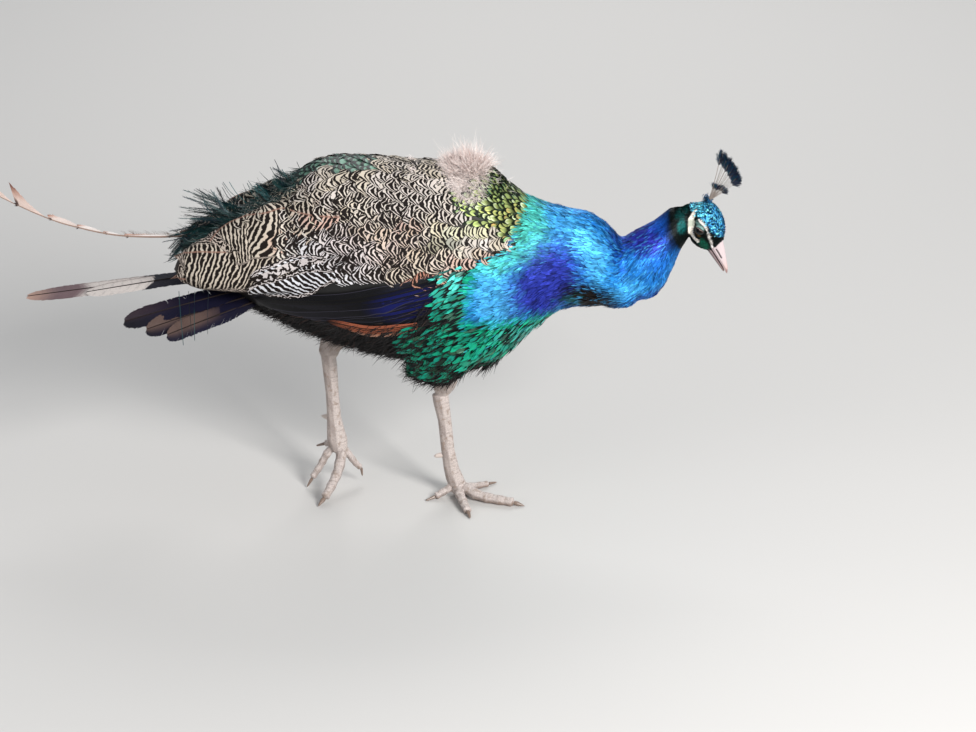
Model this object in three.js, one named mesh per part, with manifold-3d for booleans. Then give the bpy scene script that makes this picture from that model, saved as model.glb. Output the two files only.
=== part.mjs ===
// A peacock at life size, walking with its head held low, in the moult: the long train has been shed,
// and short green rump plumes, the brown tail and one worn plume are left. Millimetres, +Z up. The bird
// faces +X, its right side is -Y, and the origin is on the floor under the sole of its right foot.
//
// Every form is a loft: rings of a few named sizes set along a smooth line. The lofts are joined and cut
// into the parts a person would name, with a narrow gap between neighbours.
import * as THREE from "three";
import Module from "manifold-3d";

const wasm = await Module();
wasm.setup();

// ---------------------------------------------------------------- driving dimensions
const GAP = 0.5; // left between two solids that meet
const MIDPLANE = 0; // y of the body's plane of symmetry
const BACK_STRIP = 14; // half the width of back that shows between the two wings
const WING_THICK = 16; // depth of the folded wing over the flank
const VANE_THICK = 1.1; // a tail feather, at its shaft
const TOE_RADIUS = 6.4;
const CLAW_LENGTH = 13;
const EYE_RADIUS = 6;
const EYE_AT = [6.2, 13.2, -3.4]; // in the head's own frame, for the left eye
const HEAD_AT = [279.5, 0, 352.5];
const HEAD_PITCH = THREE.MathUtils.degToRad(50); // the bill points down and
const HEAD_YAW = THREE.MathUtils.degToRad(-25); // a little to the bird's right
const FORWARD = [1, 0, 0];
const DOWNWARD = [0, 0, -1];
const SIMPLER = 0.1; // facets flatter than this are merged
const LEAST = 0.3; // no ring is thinner than twice this
const FAR = 900; // larger than the whole bird, for cutting tools

// ---------------------------------------------------------------- materials
const finish = (color, roughness, metalness = 0) =>
  new THREE.MeshStandardMaterial({ color, roughness, metalness });
const BLUE = finish("#1450b4", 0.4, 0.3);
const GREEN = finish("#0f8f6c", 0.4, 0.3);
const BARRED = finish("#a8987c", 0.8);
const NIGHT_BLUE = finish("#101436", 0.5);
const RUFOUS = finish("#b0623a", 0.7);
const BELLY = finish("#1d1714", 0.9);
const TAIL_BROWN = finish("#5b4a44", 0.7);
const PALE_QUILL = finish("#cdb6a4", 0.7);
const DOWN = finish("#c9bcb4", 0.95);
const LEG_SKIN = finish("#cfc4b8", 0.6);
const HORN = finish("#b9a898", 0.45);
const EYE = finish("#170f0b", 0.1);

// ---------------------------------------------------------------- solids from geometry
function toSolid(geometry) {
  return new wasm.Manifold(
    new wasm.Mesh({
      numProp: 3,
      vertProperties: geometry.getAttribute("position").array,
      triVerts: new Uint32Array(geometry.index.array),
    }),
  );
}

const join = (solids) => solids.reduce((all, next) => all.add(next));
const cut = (solid, ...tools) => tools.reduce((left, tool) => left.subtract(tool), solid);
const largest = (solid) =>
  solid.decompose().reduce((best, next) => (next.volume() > best.volume() ? next : best));

const root = new THREE.Group();

function addNode(name, solid, material) {
  const { vertProperties, triVerts } = largest(solid).simplify(SIMPLER).getMesh();
  const geometry = new THREE.BufferGeometry();
  geometry.setAttribute("position", new THREE.BufferAttribute(vertProperties, 3));
  geometry.setIndex(new THREE.BufferAttribute(triVerts, 1));
  geometry.computeVertexNormals();
  const mesh = new THREE.Mesh(geometry, material);
  mesh.name = name;
  root.add(mesh);
}

// A closed skin over rings. stations are [x, y, z, wide, up, down]: the centre of a ring, its half-width
// and its reach above and below. The first and last are the tips. side is the way the width runs, square
// holds every ring square to one direction, and grow thickens the loft, to cut a neighbour back from it.
function loft(stations, { sides = 16, steps = 2, side = [0, 1, 0], square } = {}, grow = 0) {
  const smooth = (pick) =>
    new THREE.CatmullRomCurve3(
      stations.map((s) => new THREE.Vector3(...pick(s))),
      false,
      "catmullrom",
      0.5,
    );
  const line = smooth((s) => s.slice(0, 3));
  const sizes = smooth((s) => s.slice(3, 6));
  const count = (stations.length - 1) * steps;
  const across = new THREE.Vector3(...side);
  const position = [];
  const index = [];
  for (let ring = 1; ring < count; ring++) {
    const centre = line.getPoint(ring / count);
    const ahead = square ? new THREE.Vector3(...square) : line.getTangent(ring / count);
    const right = across.clone().addScaledVector(ahead, -across.dot(ahead)).normalize();
    const above = ahead.clone().cross(right);
    const size = sizes.getPoint(ring / count);
    for (let i = 0; i < sides; i++) {
      const angle = (2 * Math.PI * i) / sides;
      const reach = Math.sin(angle) >= 0 ? size.y : size.z;
      const point = centre
        .clone()
        .addScaledVector(right, (Math.max(size.x, LEAST) + grow) * Math.cos(angle))
        .addScaledVector(above, (Math.max(reach, LEAST) + grow) * Math.sin(angle));
      position.push(...point);
    }
  }
  const tips = [0, 1].map((t) => {
    const outward = line.getTangent(t).multiplyScalar(t ? grow : -grow);
    position.push(...line.getPoint(t).add(outward));
    return position.length / 3 - 1;
  });
  for (let i = 0; i < sides; i++) {
    const next = (i + 1) % sides;
    const last = (count - 2) * sides;
    index.push(tips[0], next, i, tips[1], last + i, last + next);
    for (let ring = 0; ring < count - 2; ring++) {
      const a = ring * sides;
      const b = a + sides;
      index.push(a + i, a + next, b + next, a + i, b + next, b + i);
    }
  }
  const geometry = new THREE.BufferGeometry();
  geometry.setAttribute("position", new THREE.BufferAttribute(new Float32Array(position), 3));
  geometry.setIndex(index);
  return geometry;
}

const shape = (stations, options) => (grow = 0) => toSolid(loft(stations, options, grow));

// Everything beyond a plane through point, on the side that normal points to.
function beyond(point, normal, gap = GAP / 2) {
  const box = new THREE.BoxGeometry(FAR, FAR, FAR).deleteAttribute("normal").deleteAttribute("uv");
  const way = new THREE.Vector3(...normal).normalize();
  const turn = new THREE.Quaternion().setFromUnitVectors(new THREE.Vector3(0, 0, 1), way);
  box.applyQuaternion(turn);
  box.translate(...new THREE.Vector3(...point).addScaledVector(way, FAR / 2 + gap));
  return toSolid(weld(box));
}

// The same triangles with one vertex at each place.
function weld(geometry) {
  const places = new Map();
  const position = [];
  const old = geometry.getAttribute("position");
  const corners = geometry.index ? Array.from(geometry.index.array) : [...Array(old.count).keys()];
  const index = corners.map((corner) => {
    const point = [old.getX(corner), old.getY(corner), old.getZ(corner)];
    const key = point.map((x) => Math.round(x * 1e4)).join();
    if (!places.has(key)) {
      places.set(key, places.size);
      position.push(...point);
    }
    return places.get(key);
  });
  const welded = new THREE.BufferGeometry();
  welded.setAttribute("position", new THREE.BufferAttribute(new Float32Array(position), 3));
  welded.setIndex(index);
  return welded;
}

// A closed side-view outline of [x, z] points, pushed outwards by grow and run out to the bird's right
// from the edge of the back strip.
function sideBlock(outline, grow = 0) {
  const points = outline.map(([x, z]) => new THREE.Vector2(x, z));
  const turn = Math.sign(THREE.ShapeUtils.area(points));
  const outward = (from, to) =>
    new THREE.Vector2(to.y - from.y, from.x - to.x).normalize().multiplyScalar(turn);
  const pushed = points.map((p, i) => {
    const one = outward(points.at(i - 1), p);
    const other = outward(p, points[(i + 1) % points.length]);
    const mitre = grow / Math.max(1 + one.dot(other), 0.25);
    return p.clone().addScaledVector(one.add(other), mitre);
  });
  const block = new THREE.ExtrudeGeometry(new THREE.Shape(pushed), {
    depth: FAR,
    bevelEnabled: false,
  });
  block.rotateX(Math.PI / 2); // the outline's y becomes z, and its depth runs along -Y
  block.translate(0, MIDPLANE - BACK_STRIP + grow, 0);
  return toSolid(weld(block));
}

const smoothLine = (points, count) =>
  new THREE.SplineCurve(points.map(([x, z]) => new THREE.Vector2(x, z)))
    .getPoints(count)
    .map((p) => [p.x, p.y]);

// The same solid on the bird's other side.
function mirrored(solid) {
  const { vertProperties, triVerts } = solid.getMesh();
  const position = vertProperties.map((value, i) => (i % 3 === 1 ? 2 * MIDPLANE - value : value));
  const turned = triVerts.map((_, i) => triVerts[i - (i % 3) + 2 - (i % 3)]);
  return new wasm.Manifold(
    new wasm.Mesh({ numProp: 3, vertProperties: position, triVerts: turned }),
  );
}

// ---------------------------------------------------------------- trunk and neck
// [x, y, z, half-width, up, down] from the rump to the throat.
const TRUNK = [
  [-280, 0, 300, 0, 0, 0],
  [-270, 0, 302, 27, 28, 33],
  [-250, 0, 307, 48, 58, 56],
  [-212, 0, 311, 72, 76, 77],
  [-165, 0, 320, 88, 104, 108],
  [-112, 0, 313, 97, 115, 120],
  [-50, 0, 303, 100, 120, 127],
  [18, 0, 296, 91, 126, 129],
  [46, 0, 296, 81, 114, 116],
  [80, 0, 299, 66, 85, 85],
  [116, 0, 307, 54, 65, 65],
  [142, 0, 305, 47, 58, 60],
  [163, 0, 299, 43, 53, 52],
  [182, 0, 289, 39, 42, 45],
  [200, 0, 280, 31, 29, 32],
  [211, 0, 275, 0, 0, 0],
];
const trunk = shape(TRUNK, { sides: 20, square: FORWARD });
// What is left of it inside the two folded wings.
const WINGED = TRUNK.slice(3, 9);
const core = (depth) =>
  shape(
    [
      [-250, 0, 309, 0, 0, 0],
      ...WINGED.map(([x, y, z, ...sizes]) => [x, y, z, ...sizes.map((size) => size - depth)]),
      [84, 0, 300, 0, 0, 0],
    ],
    { sides: 16, steps: 1, square: FORWARD },
  )();
// The raised front of the neck, which folds against its base and carries the head.
const neckFront = shape(
  [
    [168, 0, 266, 0, 0, 0],
    [181, 0, 275, 28, 30, 30],
    [196, 0, 288, 37, 38, 41],
    [209, 0, 302, 38, 35, 39],
    [224, 0, 318, 33, 30, 32],
    [239, 0, 335, 25, 23, 23],
    [253, 0, 348, 19, 22, 18],
    [264, 0, 354, 16, 17, 16],
    [275, 0, 356, 0, 0, 0],
  ],
  { sides: 18, steps: 1 },
);

// ---------------------------------------------------------------- head
// The head's own frame has +X along the bill.
const headPose = new THREE.Matrix4().makeRotationFromEuler(
  new THREE.Euler(0, HEAD_PITCH, HEAD_YAW, "ZYX"),
);
headPose.setPosition(...HEAD_AT);
const onHead = (stations, options) => (grow = 0) =>
  toSolid(loft(stations, options, grow).applyMatrix4(headPose));

const skull = onHead(
  [
    [-31, 0, 0, 0, 0, 0],
    [-27, 0, 0, 9, 6, 12],
    [-18, 0, 0, 15, 15, 20],
    [-6, 0, 0, 18, 22.5, 24],
    [5, 0, 0, 18, 22.5, 27],
    [14, 0, -1.5, 15.8, 22, 27.5],
    [21, 0, -3, 13.5, 19.5, 24.5],
    [28, 0, -4.5, 10.5, 15.5, 20],
    [34, 0, -6, 7.8, 9, 15],
    [38, 0, -8, 0, 0, 0],
  ],
  { sides: 18, steps: 1, square: FORWARD },
);
const billUpper = onHead(
  [
    [22, 0, -9, 0, 0, 0],
    [28, 0, -9.6, 7.4, 15.5, 1.2],
    [35, 0, -10.2, 7, 13.4, 1.2],
    [43, 0, -11.2, 6, 10.6, 1.2],
    [50, 0, -12.2, 4.8, 7.6, 1.2],
    [57, 0, -13.4, 3.4, 5, 1.3],
    [63, 0, -14.9, 2, 3, 1.4],
    [68, 0, -17, 0, 0, 0],
  ],
  { sides: 12, steps: 1, square: FORWARD },
);
const billLower = onHead(
  [
    [22, 0, -13.2, 0, 0, 0],
    [28, 0, -13.3, 6.8, 1.4, 5.4],
    [37, 0, -13.8, 6, 1.3, 4.8],
    [46, 0, -14.9, 4.7, 1, 3.7],
    [55, 0, -16.3, 3.2, 0.9, 2.5],
    [61, 0, -17.4, 1.9, 0.8, 1.5],
    [64, 0, -18.2, 0, 0, 0],
  ],
  { sides: 12, steps: 1, square: FORWARD },
);

function eyeball(sideSign, grow = 0) {
  const ball = new THREE.SphereGeometry(EYE_RADIUS + grow, 12, 7);
  ball.translate(EYE_AT[0], sideSign * EYE_AT[1], EYE_AT[2]).applyMatrix4(headPose);
  return toSolid(weld(ball.deleteAttribute("normal").deleteAttribute("uv")));
}

// The crest: bare shafts that fan back from the crown, each with a small fringed tip.
const CREST_ROOT = [-15, 0, 19];
const CREST_SHAFT = 0.55;
const CREST = { count: 12, angles: [82, 131], lengths: [60, 68] };
const CREST_SHORT = { count: 3, angles: [80, 118], lengths: [32, 24] };
const crestRoot = onHead(
  [
    [-16, 0, 14, 0, 0, 0],
    [-16, 0, 18, 4, 5.5, 5.5],
    [-19, 0, 28, 2.2, 5, 5],
    [-21, 0, 32, 0, 0, 0],
  ],
  { sides: 8, steps: 1 },
);

function crestFeather(angle, length, lean) {
  const way = new THREE.Vector3(Math.cos(angle), lean, Math.sin(angle));
  const at = (share) =>
    new THREE.Vector3(...CREST_ROOT).addScaledVector(way, share * length).toArray();
  return onHead(
    [
      [...at(-0.04), 0, 0, 0],
      [...at(0), CREST_SHAFT, CREST_SHAFT, CREST_SHAFT],
      [...at(0.77), CREST_SHAFT, CREST_SHAFT, CREST_SHAFT],
      [...at(0.93), 1.3, 4.4, 4.4],
      [...at(1), 0, 0, 0],
    ],
    { sides: 5, steps: 1 },
  )();
}

function crestFan({ count, angles, lengths }) {
  return Array.from({ length: count }, (_, i) => {
    const along = (range) => THREE.MathUtils.lerp(...range, i / (count - 1));
    const lean = 0.07 * Math.sin(2.4 * i); // every feather stands a little off the fan's plane
    return crestFeather(THREE.MathUtils.degToRad(along(angles)), along(lengths), lean);
  });
}

// ---------------------------------------------------------------- folded wings
// The long barred feathers reach past the rump on each side. Their ring leans in at the top.
const LOBE_LEAN = THREE.MathUtils.degToRad(25);
const wingTip = shape(
  [
    [-110, -52, 334, 0, 0, 0],
    [-150, -54, 338, 22, 46, 50],
    [-212, -56, 339, 22, 50, 54],
    [-262, -47, 321, 20, 40, 41],
    [-300, -41, 311, 16, 29, 30],
    [-322, -37, 306, 10, 17, 17],
    [-332, -36, 305, 0, 0, 0],
  ],
  { sides: 14, steps: 1, side: [0, Math.cos(LOBE_LEAN), -Math.sin(LOBE_LEAN)] },
);

// Side outlines, [x, z]. Coverts lie over the dark secondaries, and the rufous primaries show under
// those.
const covertsEdge = smoothLine(
  [
    [-344, 262],
    [-262, 268],
    [-215, 286],
    [-170, 312],
    [-119, 324],
    [-62, 318],
    [-18, 300],
  ],
  12,
);
const shoulder = smoothLine(
  [
    [-18, 300],
    [14, 320],
    [48, 340],
    [56, 358],
    [24, 394],
    [-10, 418],
    [-38, 432],
  ],
  8,
);
const secondariesEdge = smoothLine(
  [
    [-15, 292],
    [-36, 264],
    [-90, 258],
    [-150, 261],
    [-206, 268],
    [-246, 270],
  ],
  8,
);
const primariesEdge = smoothLine(
  [
    [-50, 258],
    [-62, 246],
    [-95, 241],
    [-130, 246],
    [-150, 259],
  ],
  6,
);
const lower = (points, by) => points.map(([x, z]) => [x, z - by]);
const BAND_GAP = 2 * GAP;

const covertsOutline = [...covertsEdge, ...shoulder.slice(1), [-38, 520], [-344, 520]];
const secondariesOutline = [...lower(covertsEdge.slice(3), BAND_GAP), ...secondariesEdge];
const primariesOutline = [
  ...lower(smoothLine([[-150, 261], [-90, 258], [-50, 261]], 6), BAND_GAP),
  ...lower(primariesEdge, BAND_GAP),
];

const onSide = { right: (solid) => solid, left: mirrored };
const underWing = core(WING_THICK);
const wingPiece = (outline, place) =>
  cut(trunk().add(place(wingTip())).intersect(place(sideBlock(outline))), underWing);
const wingOutlines = [covertsOutline, secondariesOutline, primariesOutline];
const wingRoom = join(wingOutlines.map((outline) => sideBlock(outline, GAP)));

// ---------------------------------------------------------------- rump plumes, down and worn plume
const rump = shape(
  [
    [-120, 0, 342, 0, 0, 0],
    [-160, 0, 346, 42, 52, 40],
    [-205, 0, 342, 40, 34, 36],
    [-248, 0, 338, 35, 32, 30],
    [-288, 0, 339, 27, 34, 26],
    [-318, 0, 335, 19, 25, 20],
    [-342, 0, 331, 0, 0, 0],
  ],
  { sides: 14, steps: 1 },
);
const mantleDown = shape(
  [
    [-28, 0, 400, 0, 0, 0],
    [-18, 0, 405, 20, 22, 20],
    [4, 0, 412, 30, 31, 20],
    [28, 0, 408, 28, 28, 20],
    [44, 0, 392, 0, 0, 0],
  ],
  { sides: 14, steps: 1 },
);
// The last plume of the train: a bare quill, then a narrow worn blade that stands on its edge.
const wornPlume = shape(
  [
    [-296, 12, 331, 0, 0, 0],
    [-306, 13, 329, 1.8, 2, 1.8],
    [-340, 15, 325, 1.5, 2.6, 1.6],
    [-398, 15, 327, 1.1, 3.2, 1.4],
    [-451, 15, 339, 0.8, 5, 1.2],
    [-481, 15, 352, 0.7, 9, 1.2],
    [-510, 15, 367, 0.7, 13, 1.2],
    [-536, 15, 380, 0.6, 11, 1],
    [-562, 15, 394, 0, 0, 0],
  ],
  { sides: 8 },
);

// ---------------------------------------------------------------- tail
// root and tip of each feather's shaft, its half-width and how far its outer edge hangs, in degrees.
const TAIL = [
  { root: [-228, -4, 296], tip: [-442, -8, 264], half: 20, roll: 0 },
  { root: [-228, 4, 289], tip: [-518, 12, 250], half: 23, roll: 3 },
  { root: [-228, 14, 283], tip: [-436, 44, 248], half: 22, roll: 8 },
  { root: [-228, -14, 277], tip: [-392, -66, 251], half: 20, roll: -14 },
  { root: [-228, 22, 273], tip: [-412, 80, 242], half: 21, roll: 14 },
  { root: [-228, -20, 270], tip: [-364, -84, 249], half: 18, roll: -20 },
  { root: [-228, 28, 267], tip: [-384, 104, 236], half: 20, roll: 20 },
  { root: [-228, -26, 264], tip: [-338, -97, 248], half: 16, roll: -24 },
  { root: [-228, 32, 261], tip: [-350, 120, 231], half: 18, roll: 24 },
];

function tailFeather({ root: from, tip, half, roll }) {
  const a = new THREE.Vector3(...from);
  const b = new THREE.Vector3(...tip);
  const at = (share) => a.clone().lerp(b, share).setZ(a.z + (b.z - a.z) * share ** 1.15).toArray();
  const turn = THREE.MathUtils.degToRad(roll);
  const thick = VANE_THICK / 2;
  return shape(
    [
      [...at(0), 0, 0, 0],
      [...at(0.05), 0.3 * half, thick, thick],
      [...at(0.3), 0.72 * half, thick, thick],
      [...at(0.6), half, thick, thick],
      [...at(0.84), 0.95 * half, thick, thick],
      [...at(0.93), 0.74 * half, thick, thick],
      [...at(0.98), 0.42 * half, thick, thick],
      [...at(1), 0, 0, 0],
    ],
    { sides: 6, steps: 1, side: [0, Math.cos(turn), -Math.sin(turn)] },
  );
}

// ---------------------------------------------------------------- legs
// A limb part along a line: [x, y, z, radius] rings, a little deeper fore and aft than across.
const SPUR = { sides: 8, steps: 1, square: [-1, 0, 0] };
const LIMB_WIDTH = 0.82;
const limb = (rings, options) =>
  shape(
    rings.map(([x, y, z, r]) => [x, y, z, r * LIMB_WIDTH, r, r]),
    { sides: 10, steps: 1, square: DOWNWARD, ...options },
  );

const legs = {
  right: {
    thigh: limb([
      [16, -40, 262, 0],
      [8, -42, 250, 46],
      [-14, -38, 206, 52],
      [-28, -28, 174, 40],
      [-29, -20, 156, 20],
      [-28, -18, 151, 0],
    ]),
    shank: limb([
      [-24, -18, 174, 0],
      [-20, -17, 168, 16],
      [-18, -13, 154, 14.5],
      [-20, -9, 143, 12.5],
      [-22, -7, 135, 8],
      [-22, -6, 131, 0],
    ]),
    tarsus: limb([
      [-25, -7, 138, 0],
      [-24.5, -6, 134, 10],
      [-23, -6, 122, 9.6],
      [-19.4, -5, 100, 8.2],
      [-16, -4, 62, 8.2],
      [-12, -2, 37, 9.4],
      [-8, -1, 23, 11],
      [-4, 0, 12, 11.4],
      [-1, 0, 4, 10],
      [0, 0, -2, 6],
      [0, 0, -5, 0],
    ]),
    spur: limb(
      [
        [-13, -3, 56, 0],
        [-17, -4, 56, 4.4],
        [-24, -5, 55, 3.6],
        [-30, -6, 54.4, 2.6],
        [-33, -6, 54, 0],
      ],
      SPUR,
    ),
    toes: [
      {
        line: [[-5, 0, 15], [-16, -5, 10], [-28, -10, 4.4]],
        tip: [-43, -18, 1],
        size: 0.82,
      },
      {
        line: [[1, 3, 11], [14, 12, 6], [29, 22, 3.8]],
        tip: [43, 33, 1],
        size: 0.72,
      },
      {
        line: [[2, -2, 12], [20, -15, 7.4], [40, -23, 5.8], [60, -29, 5]],
        tip: [76, -33, 1],
        size: 1.06,
      },
      {
        line: [[-6, -5, 12], [0, -23, 8], [4, -39, 5.6], [8, -53, 4.6]],
        tip: [11, -66, 1],
        size: 0.94,
      },
    ],
  },
  left: {
    thigh: limb([
      [-70, 42, 275, 0],
      [-84, 44, 258, 50],
      [-112, 44, 226, 46],
      [-136, 38, 202, 28],
      [-146, 36, 190, 17],
      [-148, 35, 186, 0],
    ]),
    shank: limb([
      [-134, 36, 210, 0],
      [-138, 36, 204, 19],
      [-149, 33, 188, 17],
      [-155, 31, 175, 13.5],
      [-156, 30, 166, 9],
      [-156, 30, 161, 0],
    ]),
    tarsus: limb([
      [-158, 30, 174, 0],
      [-157, 30, 170, 9],
      [-155.5, 30, 158, 9.2],
      [-153, 30, 121, 8],
      [-151.5, 31, 89, 8.6],
      [-150, 31, 73, 10.6],
      [-148, 30, 58, 12.6],
      [-146, 28, 46, 10],
      [-145, 27, 39, 0],
    ]),
    spur: limb(
      [
        [-152, 32, 86, 0],
        [-156, 34, 86, 4.2],
        [-161, 38, 85, 3.6],
        [-165, 41, 84.4, 2.2],
        [-168, 43, 84.2, 0],
      ],
      SPUR,
    ),
    toes: [
      {
        line: [[-149, 34, 52], [-156, 41, 49], [-163, 46, 46]],
        tip: [-175, 50, 41],
        size: 0.8,
      },
      {
        line: [[-151, 30, 50], [-159, 29, 43], [-168, 26, 27], [-177, 22, 14]],
        tip: [-185.4, 18, 0.4],
        size: 0.8,
      },
      {
        line: [[-142, 26, 47], [-146, 8, 30], [-153, -9, 18.5], [-160, -21, 9.5]],
        tip: [-170, -34, 0.4],
        size: 1.05,
      },
      {
        line: [[-140, 30, 47], [-133, 30, 37], [-126, 30, 27], [-120, 31, 20]],
        tip: [-119, 34, 8],
        size: 0.74,
      },
    ],
  },
};

// One toe, thickest at its pads, and the claw at its end. Both are cut flat where they stand on the
// floor.
const floorUp = beyond([0, 0, 0], [0, 0, 1], 0);
const PAD_SWELL = 0.08;

function toeParts({ line, tip, size }) {
  const curve = new THREE.CatmullRomCurve3(
    [...line, tip].map((p) => new THREE.Vector3(...p)),
    false,
    "catmullrom",
    0.5,
  );
  const toeShare = 1 - CLAW_LENGTH / curve.getLength();
  const ring = (share, radius) => {
    const r = radius * size;
    return [...curve.getPointAt(share).toArray(), r, r * 0.92, r];
  };
  const pads = 2 * line.length + 1;
  const middles = Array.from({ length: pads }, (_, i) => {
    const share = (i + 0.5) / pads;
    const swell = 1 + (i % 2 ? -PAD_SWELL : PAD_SWELL);
    return ring(share * toeShare, TOE_RADIUS * (1.06 - 0.26 * share) * swell);
  });
  const toe = shape([ring(0, 0), ...middles, ring(toeShare, 0)], { sides: 8, steps: 1 });
  const claw = shape(
    [
      ring(toeShare - 0.09, 0),
      ring(toeShare - 0.06, 2.6),
      ring(toeShare + 0.03, 2.8),
      ring(1 - 0.06, 1.6),
      ring(1, 0),
    ],
    { sides: 6, steps: 1 },
  );
  return { toe, claw };
}

// ---------------------------------------------------------------- the named parts
const eyes = { right: -1, left: 1 };
const bills = [billUpper(GAP), billLower(GAP)];
const head = cut(skull(), ...bills, eyeball(1, GAP), eyeball(-1, GAP));
const breastEdge = { point: [34, 0, 300], normal: [0.97, 0, -0.24] };
const throatEdge = { point: [124, 0, 305], normal: [1, 0, 0] };
const back = (edge) => beyond(edge.point, edge.normal.map((x) => -x));
const front = (edge) => beyond(edge.point, edge.normal);

const outerTrunk = trunk(GAP);
const wingTips = [wingTip(GAP), mirrored(wingTip(GAP))];
const withoutWings = cut(trunk(), wingRoom, mirrored(wingRoom)).add(core(WING_THICK + GAP));
const torso = cut(withoutWings, neckFront(GAP), skull(GAP));

addNode("trunk", torso.intersect(back(breastEdge)), BELLY);
addNode("breast", torso.intersect(front(breastEdge)).intersect(back(throatEdge)), GREEN);
addNode("neck_base", torso.intersect(front(throatEdge)), BLUE);
addNode("neck_front", cut(neckFront(), skull(GAP), ...bills), BLUE);
addNode("head", head, BLUE);
addNode("bill_upper", billUpper(), HORN);
addNode("bill_lower", billLower(), HORN);
for (const [name, sign] of Object.entries(eyes)) addNode(`eye_${name}`, eyeball(sign), EYE);
const crest = join([crestRoot(), ...crestFan(CREST), ...crestFan(CREST_SHORT)]);
addNode("crest", cut(crest, skull(GAP)), GREEN);

for (const [name, outline, material] of [
  ["coverts", covertsOutline, BARRED],
  ["secondaries", secondariesOutline, NIGHT_BLUE],
  ["primaries", primariesOutline, RUFOUS],
]) {
  for (const [side, place] of Object.entries(onSide)) {
    addNode(`wing_${side}_${name}`, wingPiece(outline, place), material);
  }
}

addNode("rump_plumes", cut(rump(), outerTrunk, ...wingTips), GREEN);
addNode("mantle_down", cut(mantleDown(), outerTrunk), DOWN);
addNode("worn_plume", cut(wornPlume(), rump(GAP), ...wingTips), PALE_QUILL);
const tail = TAIL.map(tailFeather);
tail.forEach((feather, i) => {
  const above = tail.slice(0, i).map((earlier) => earlier(GAP));
  addNode(`tail_feather_${i + 1}`, cut(feather(), outerTrunk, ...wingTips, ...above), TAIL_BROWN);
});

for (const [name, leg] of Object.entries(legs)) {
  addNode(`thigh_${name}`, cut(leg.thigh(), outerTrunk), BELLY);
  addNode(`shank_${name}`, cut(leg.shank(), leg.thigh(GAP), outerTrunk), LEG_SKIN);
  addNode(`tarsus_${name}`, cut(leg.tarsus(), leg.shank(GAP)).intersect(floorUp), LEG_SKIN);
  addNode(`spur_${name}`, cut(leg.spur(), leg.tarsus(GAP)), HORN);
  const earlier = [leg.tarsus(GAP)];
  leg.toes.map(toeParts).forEach(({ toe, claw }, i) => {
    addNode(`toe_${name}_${i + 1}`, cut(toe(), ...earlier).intersect(floorUp), LEG_SKIN);
    addNode(`claw_${name}_${i + 1}`, cut(claw(), toe(GAP)).intersect(floorUp), HORN);
    earlier.push(toe(GAP));
  });
}

export default root;
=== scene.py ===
# %% [markdown]
# # A peacock in the moult, feather by feather
# The solid model of the bird is a plain lump with the right size and outline. This lesson dresses it. A
# smooth skin goes just inside the lump, and thousands of feathers are laid over that skin as real mesh,
# each one following the body from the head towards the tail, as the coat of a living bird does.
# Lengths are thought of in millimetres and turned to metres where a mesh is made.

import math

import bpy
import numpy as np
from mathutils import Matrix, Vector
from mathutils.bvhtree import BVHTree


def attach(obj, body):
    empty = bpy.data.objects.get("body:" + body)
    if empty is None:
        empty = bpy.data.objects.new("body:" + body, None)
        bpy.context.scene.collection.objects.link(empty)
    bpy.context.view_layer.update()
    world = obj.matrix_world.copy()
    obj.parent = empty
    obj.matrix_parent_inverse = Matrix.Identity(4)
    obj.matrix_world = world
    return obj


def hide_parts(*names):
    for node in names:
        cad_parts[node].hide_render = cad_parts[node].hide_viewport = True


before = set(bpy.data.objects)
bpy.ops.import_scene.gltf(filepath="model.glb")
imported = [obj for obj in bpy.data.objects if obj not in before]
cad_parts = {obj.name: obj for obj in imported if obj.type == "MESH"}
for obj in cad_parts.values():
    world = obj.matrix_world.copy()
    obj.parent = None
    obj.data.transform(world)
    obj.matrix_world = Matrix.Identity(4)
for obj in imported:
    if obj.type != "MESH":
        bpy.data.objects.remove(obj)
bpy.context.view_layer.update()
MM = 0.001
rng = np.random.default_rng(19)

# %% [markdown]
# Colours are written as the hex codes that a paint chart gives, and Blender mixes light in linear values.
# One function turns one into the other.


# %% Colours
def linear(code):
    parts = np.array([int(code[i : i + 2], 16) / 255 for i in (1, 3, 5)])
    return np.where(parts <= 0.04045, parts / 12.92, ((parts + 0.055) / 1.055) ** 2.4)


PAINT = {
    "azure": "#2380cc",
    "light azure": "#4db0ea",
    "violet": "#2a2796",
    "royal": "#1748b0",
    "turquoise": "#55cbbd",
    "emerald": "#13a57c",
    "teal": "#0e7f7c",
    "night": "#06182e",
    "throat": "#06100f",
    "crown": "#2f9be6",
    "cheek green": "#17644d",
    "face white": "#efe9e2",
    "crescent": "#ece3d6",
    "ochre": "#5a4020",
    "lid": "#6f918a",
    "leaf": "#bfd479",
    "gold": "#d6d07e",
    "moss": "#33543a",
    "cream": "#c6b9a4",
    "covert skin": "#352a23",
    "off-white": "#cbc1b9",
    "cold white": "#cfcfd3",
    "pink buff": "#c29a88",
    "soot": "#15100f",
    "rufous": "#a8644a",
    "down": "#f6eae4",
    "rusty down": "#a8796a",
    "rump": "#0f3d3b",
}
PAINT = {name: linear(code) for name, code in PAINT.items()}
print(len(PAINT), "plumage colours")

# %% [markdown]
# A few helpers for arrays of points: a unit vector, a soft step from 0 to 1, a blend of two colours, and a
# smooth line through a few points.


# %% Small sums
def unit(vectors):
    return vectors / np.maximum(np.linalg.norm(vectors, axis=-1, keepdims=True), 1e-9)


def soft_step(low, high, value):
    share = np.clip((value - low) / (high - low), 0, 1)
    return share * share * (3 - 2 * share)


def colour_of(name):
    """A plumage colour by its name, or any colour by its code."""
    return PAINT[name] if name in PAINT else linear(name)


def all_over(points, name):
    return np.broadcast_to(colour_of(name), points.shape)


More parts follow.
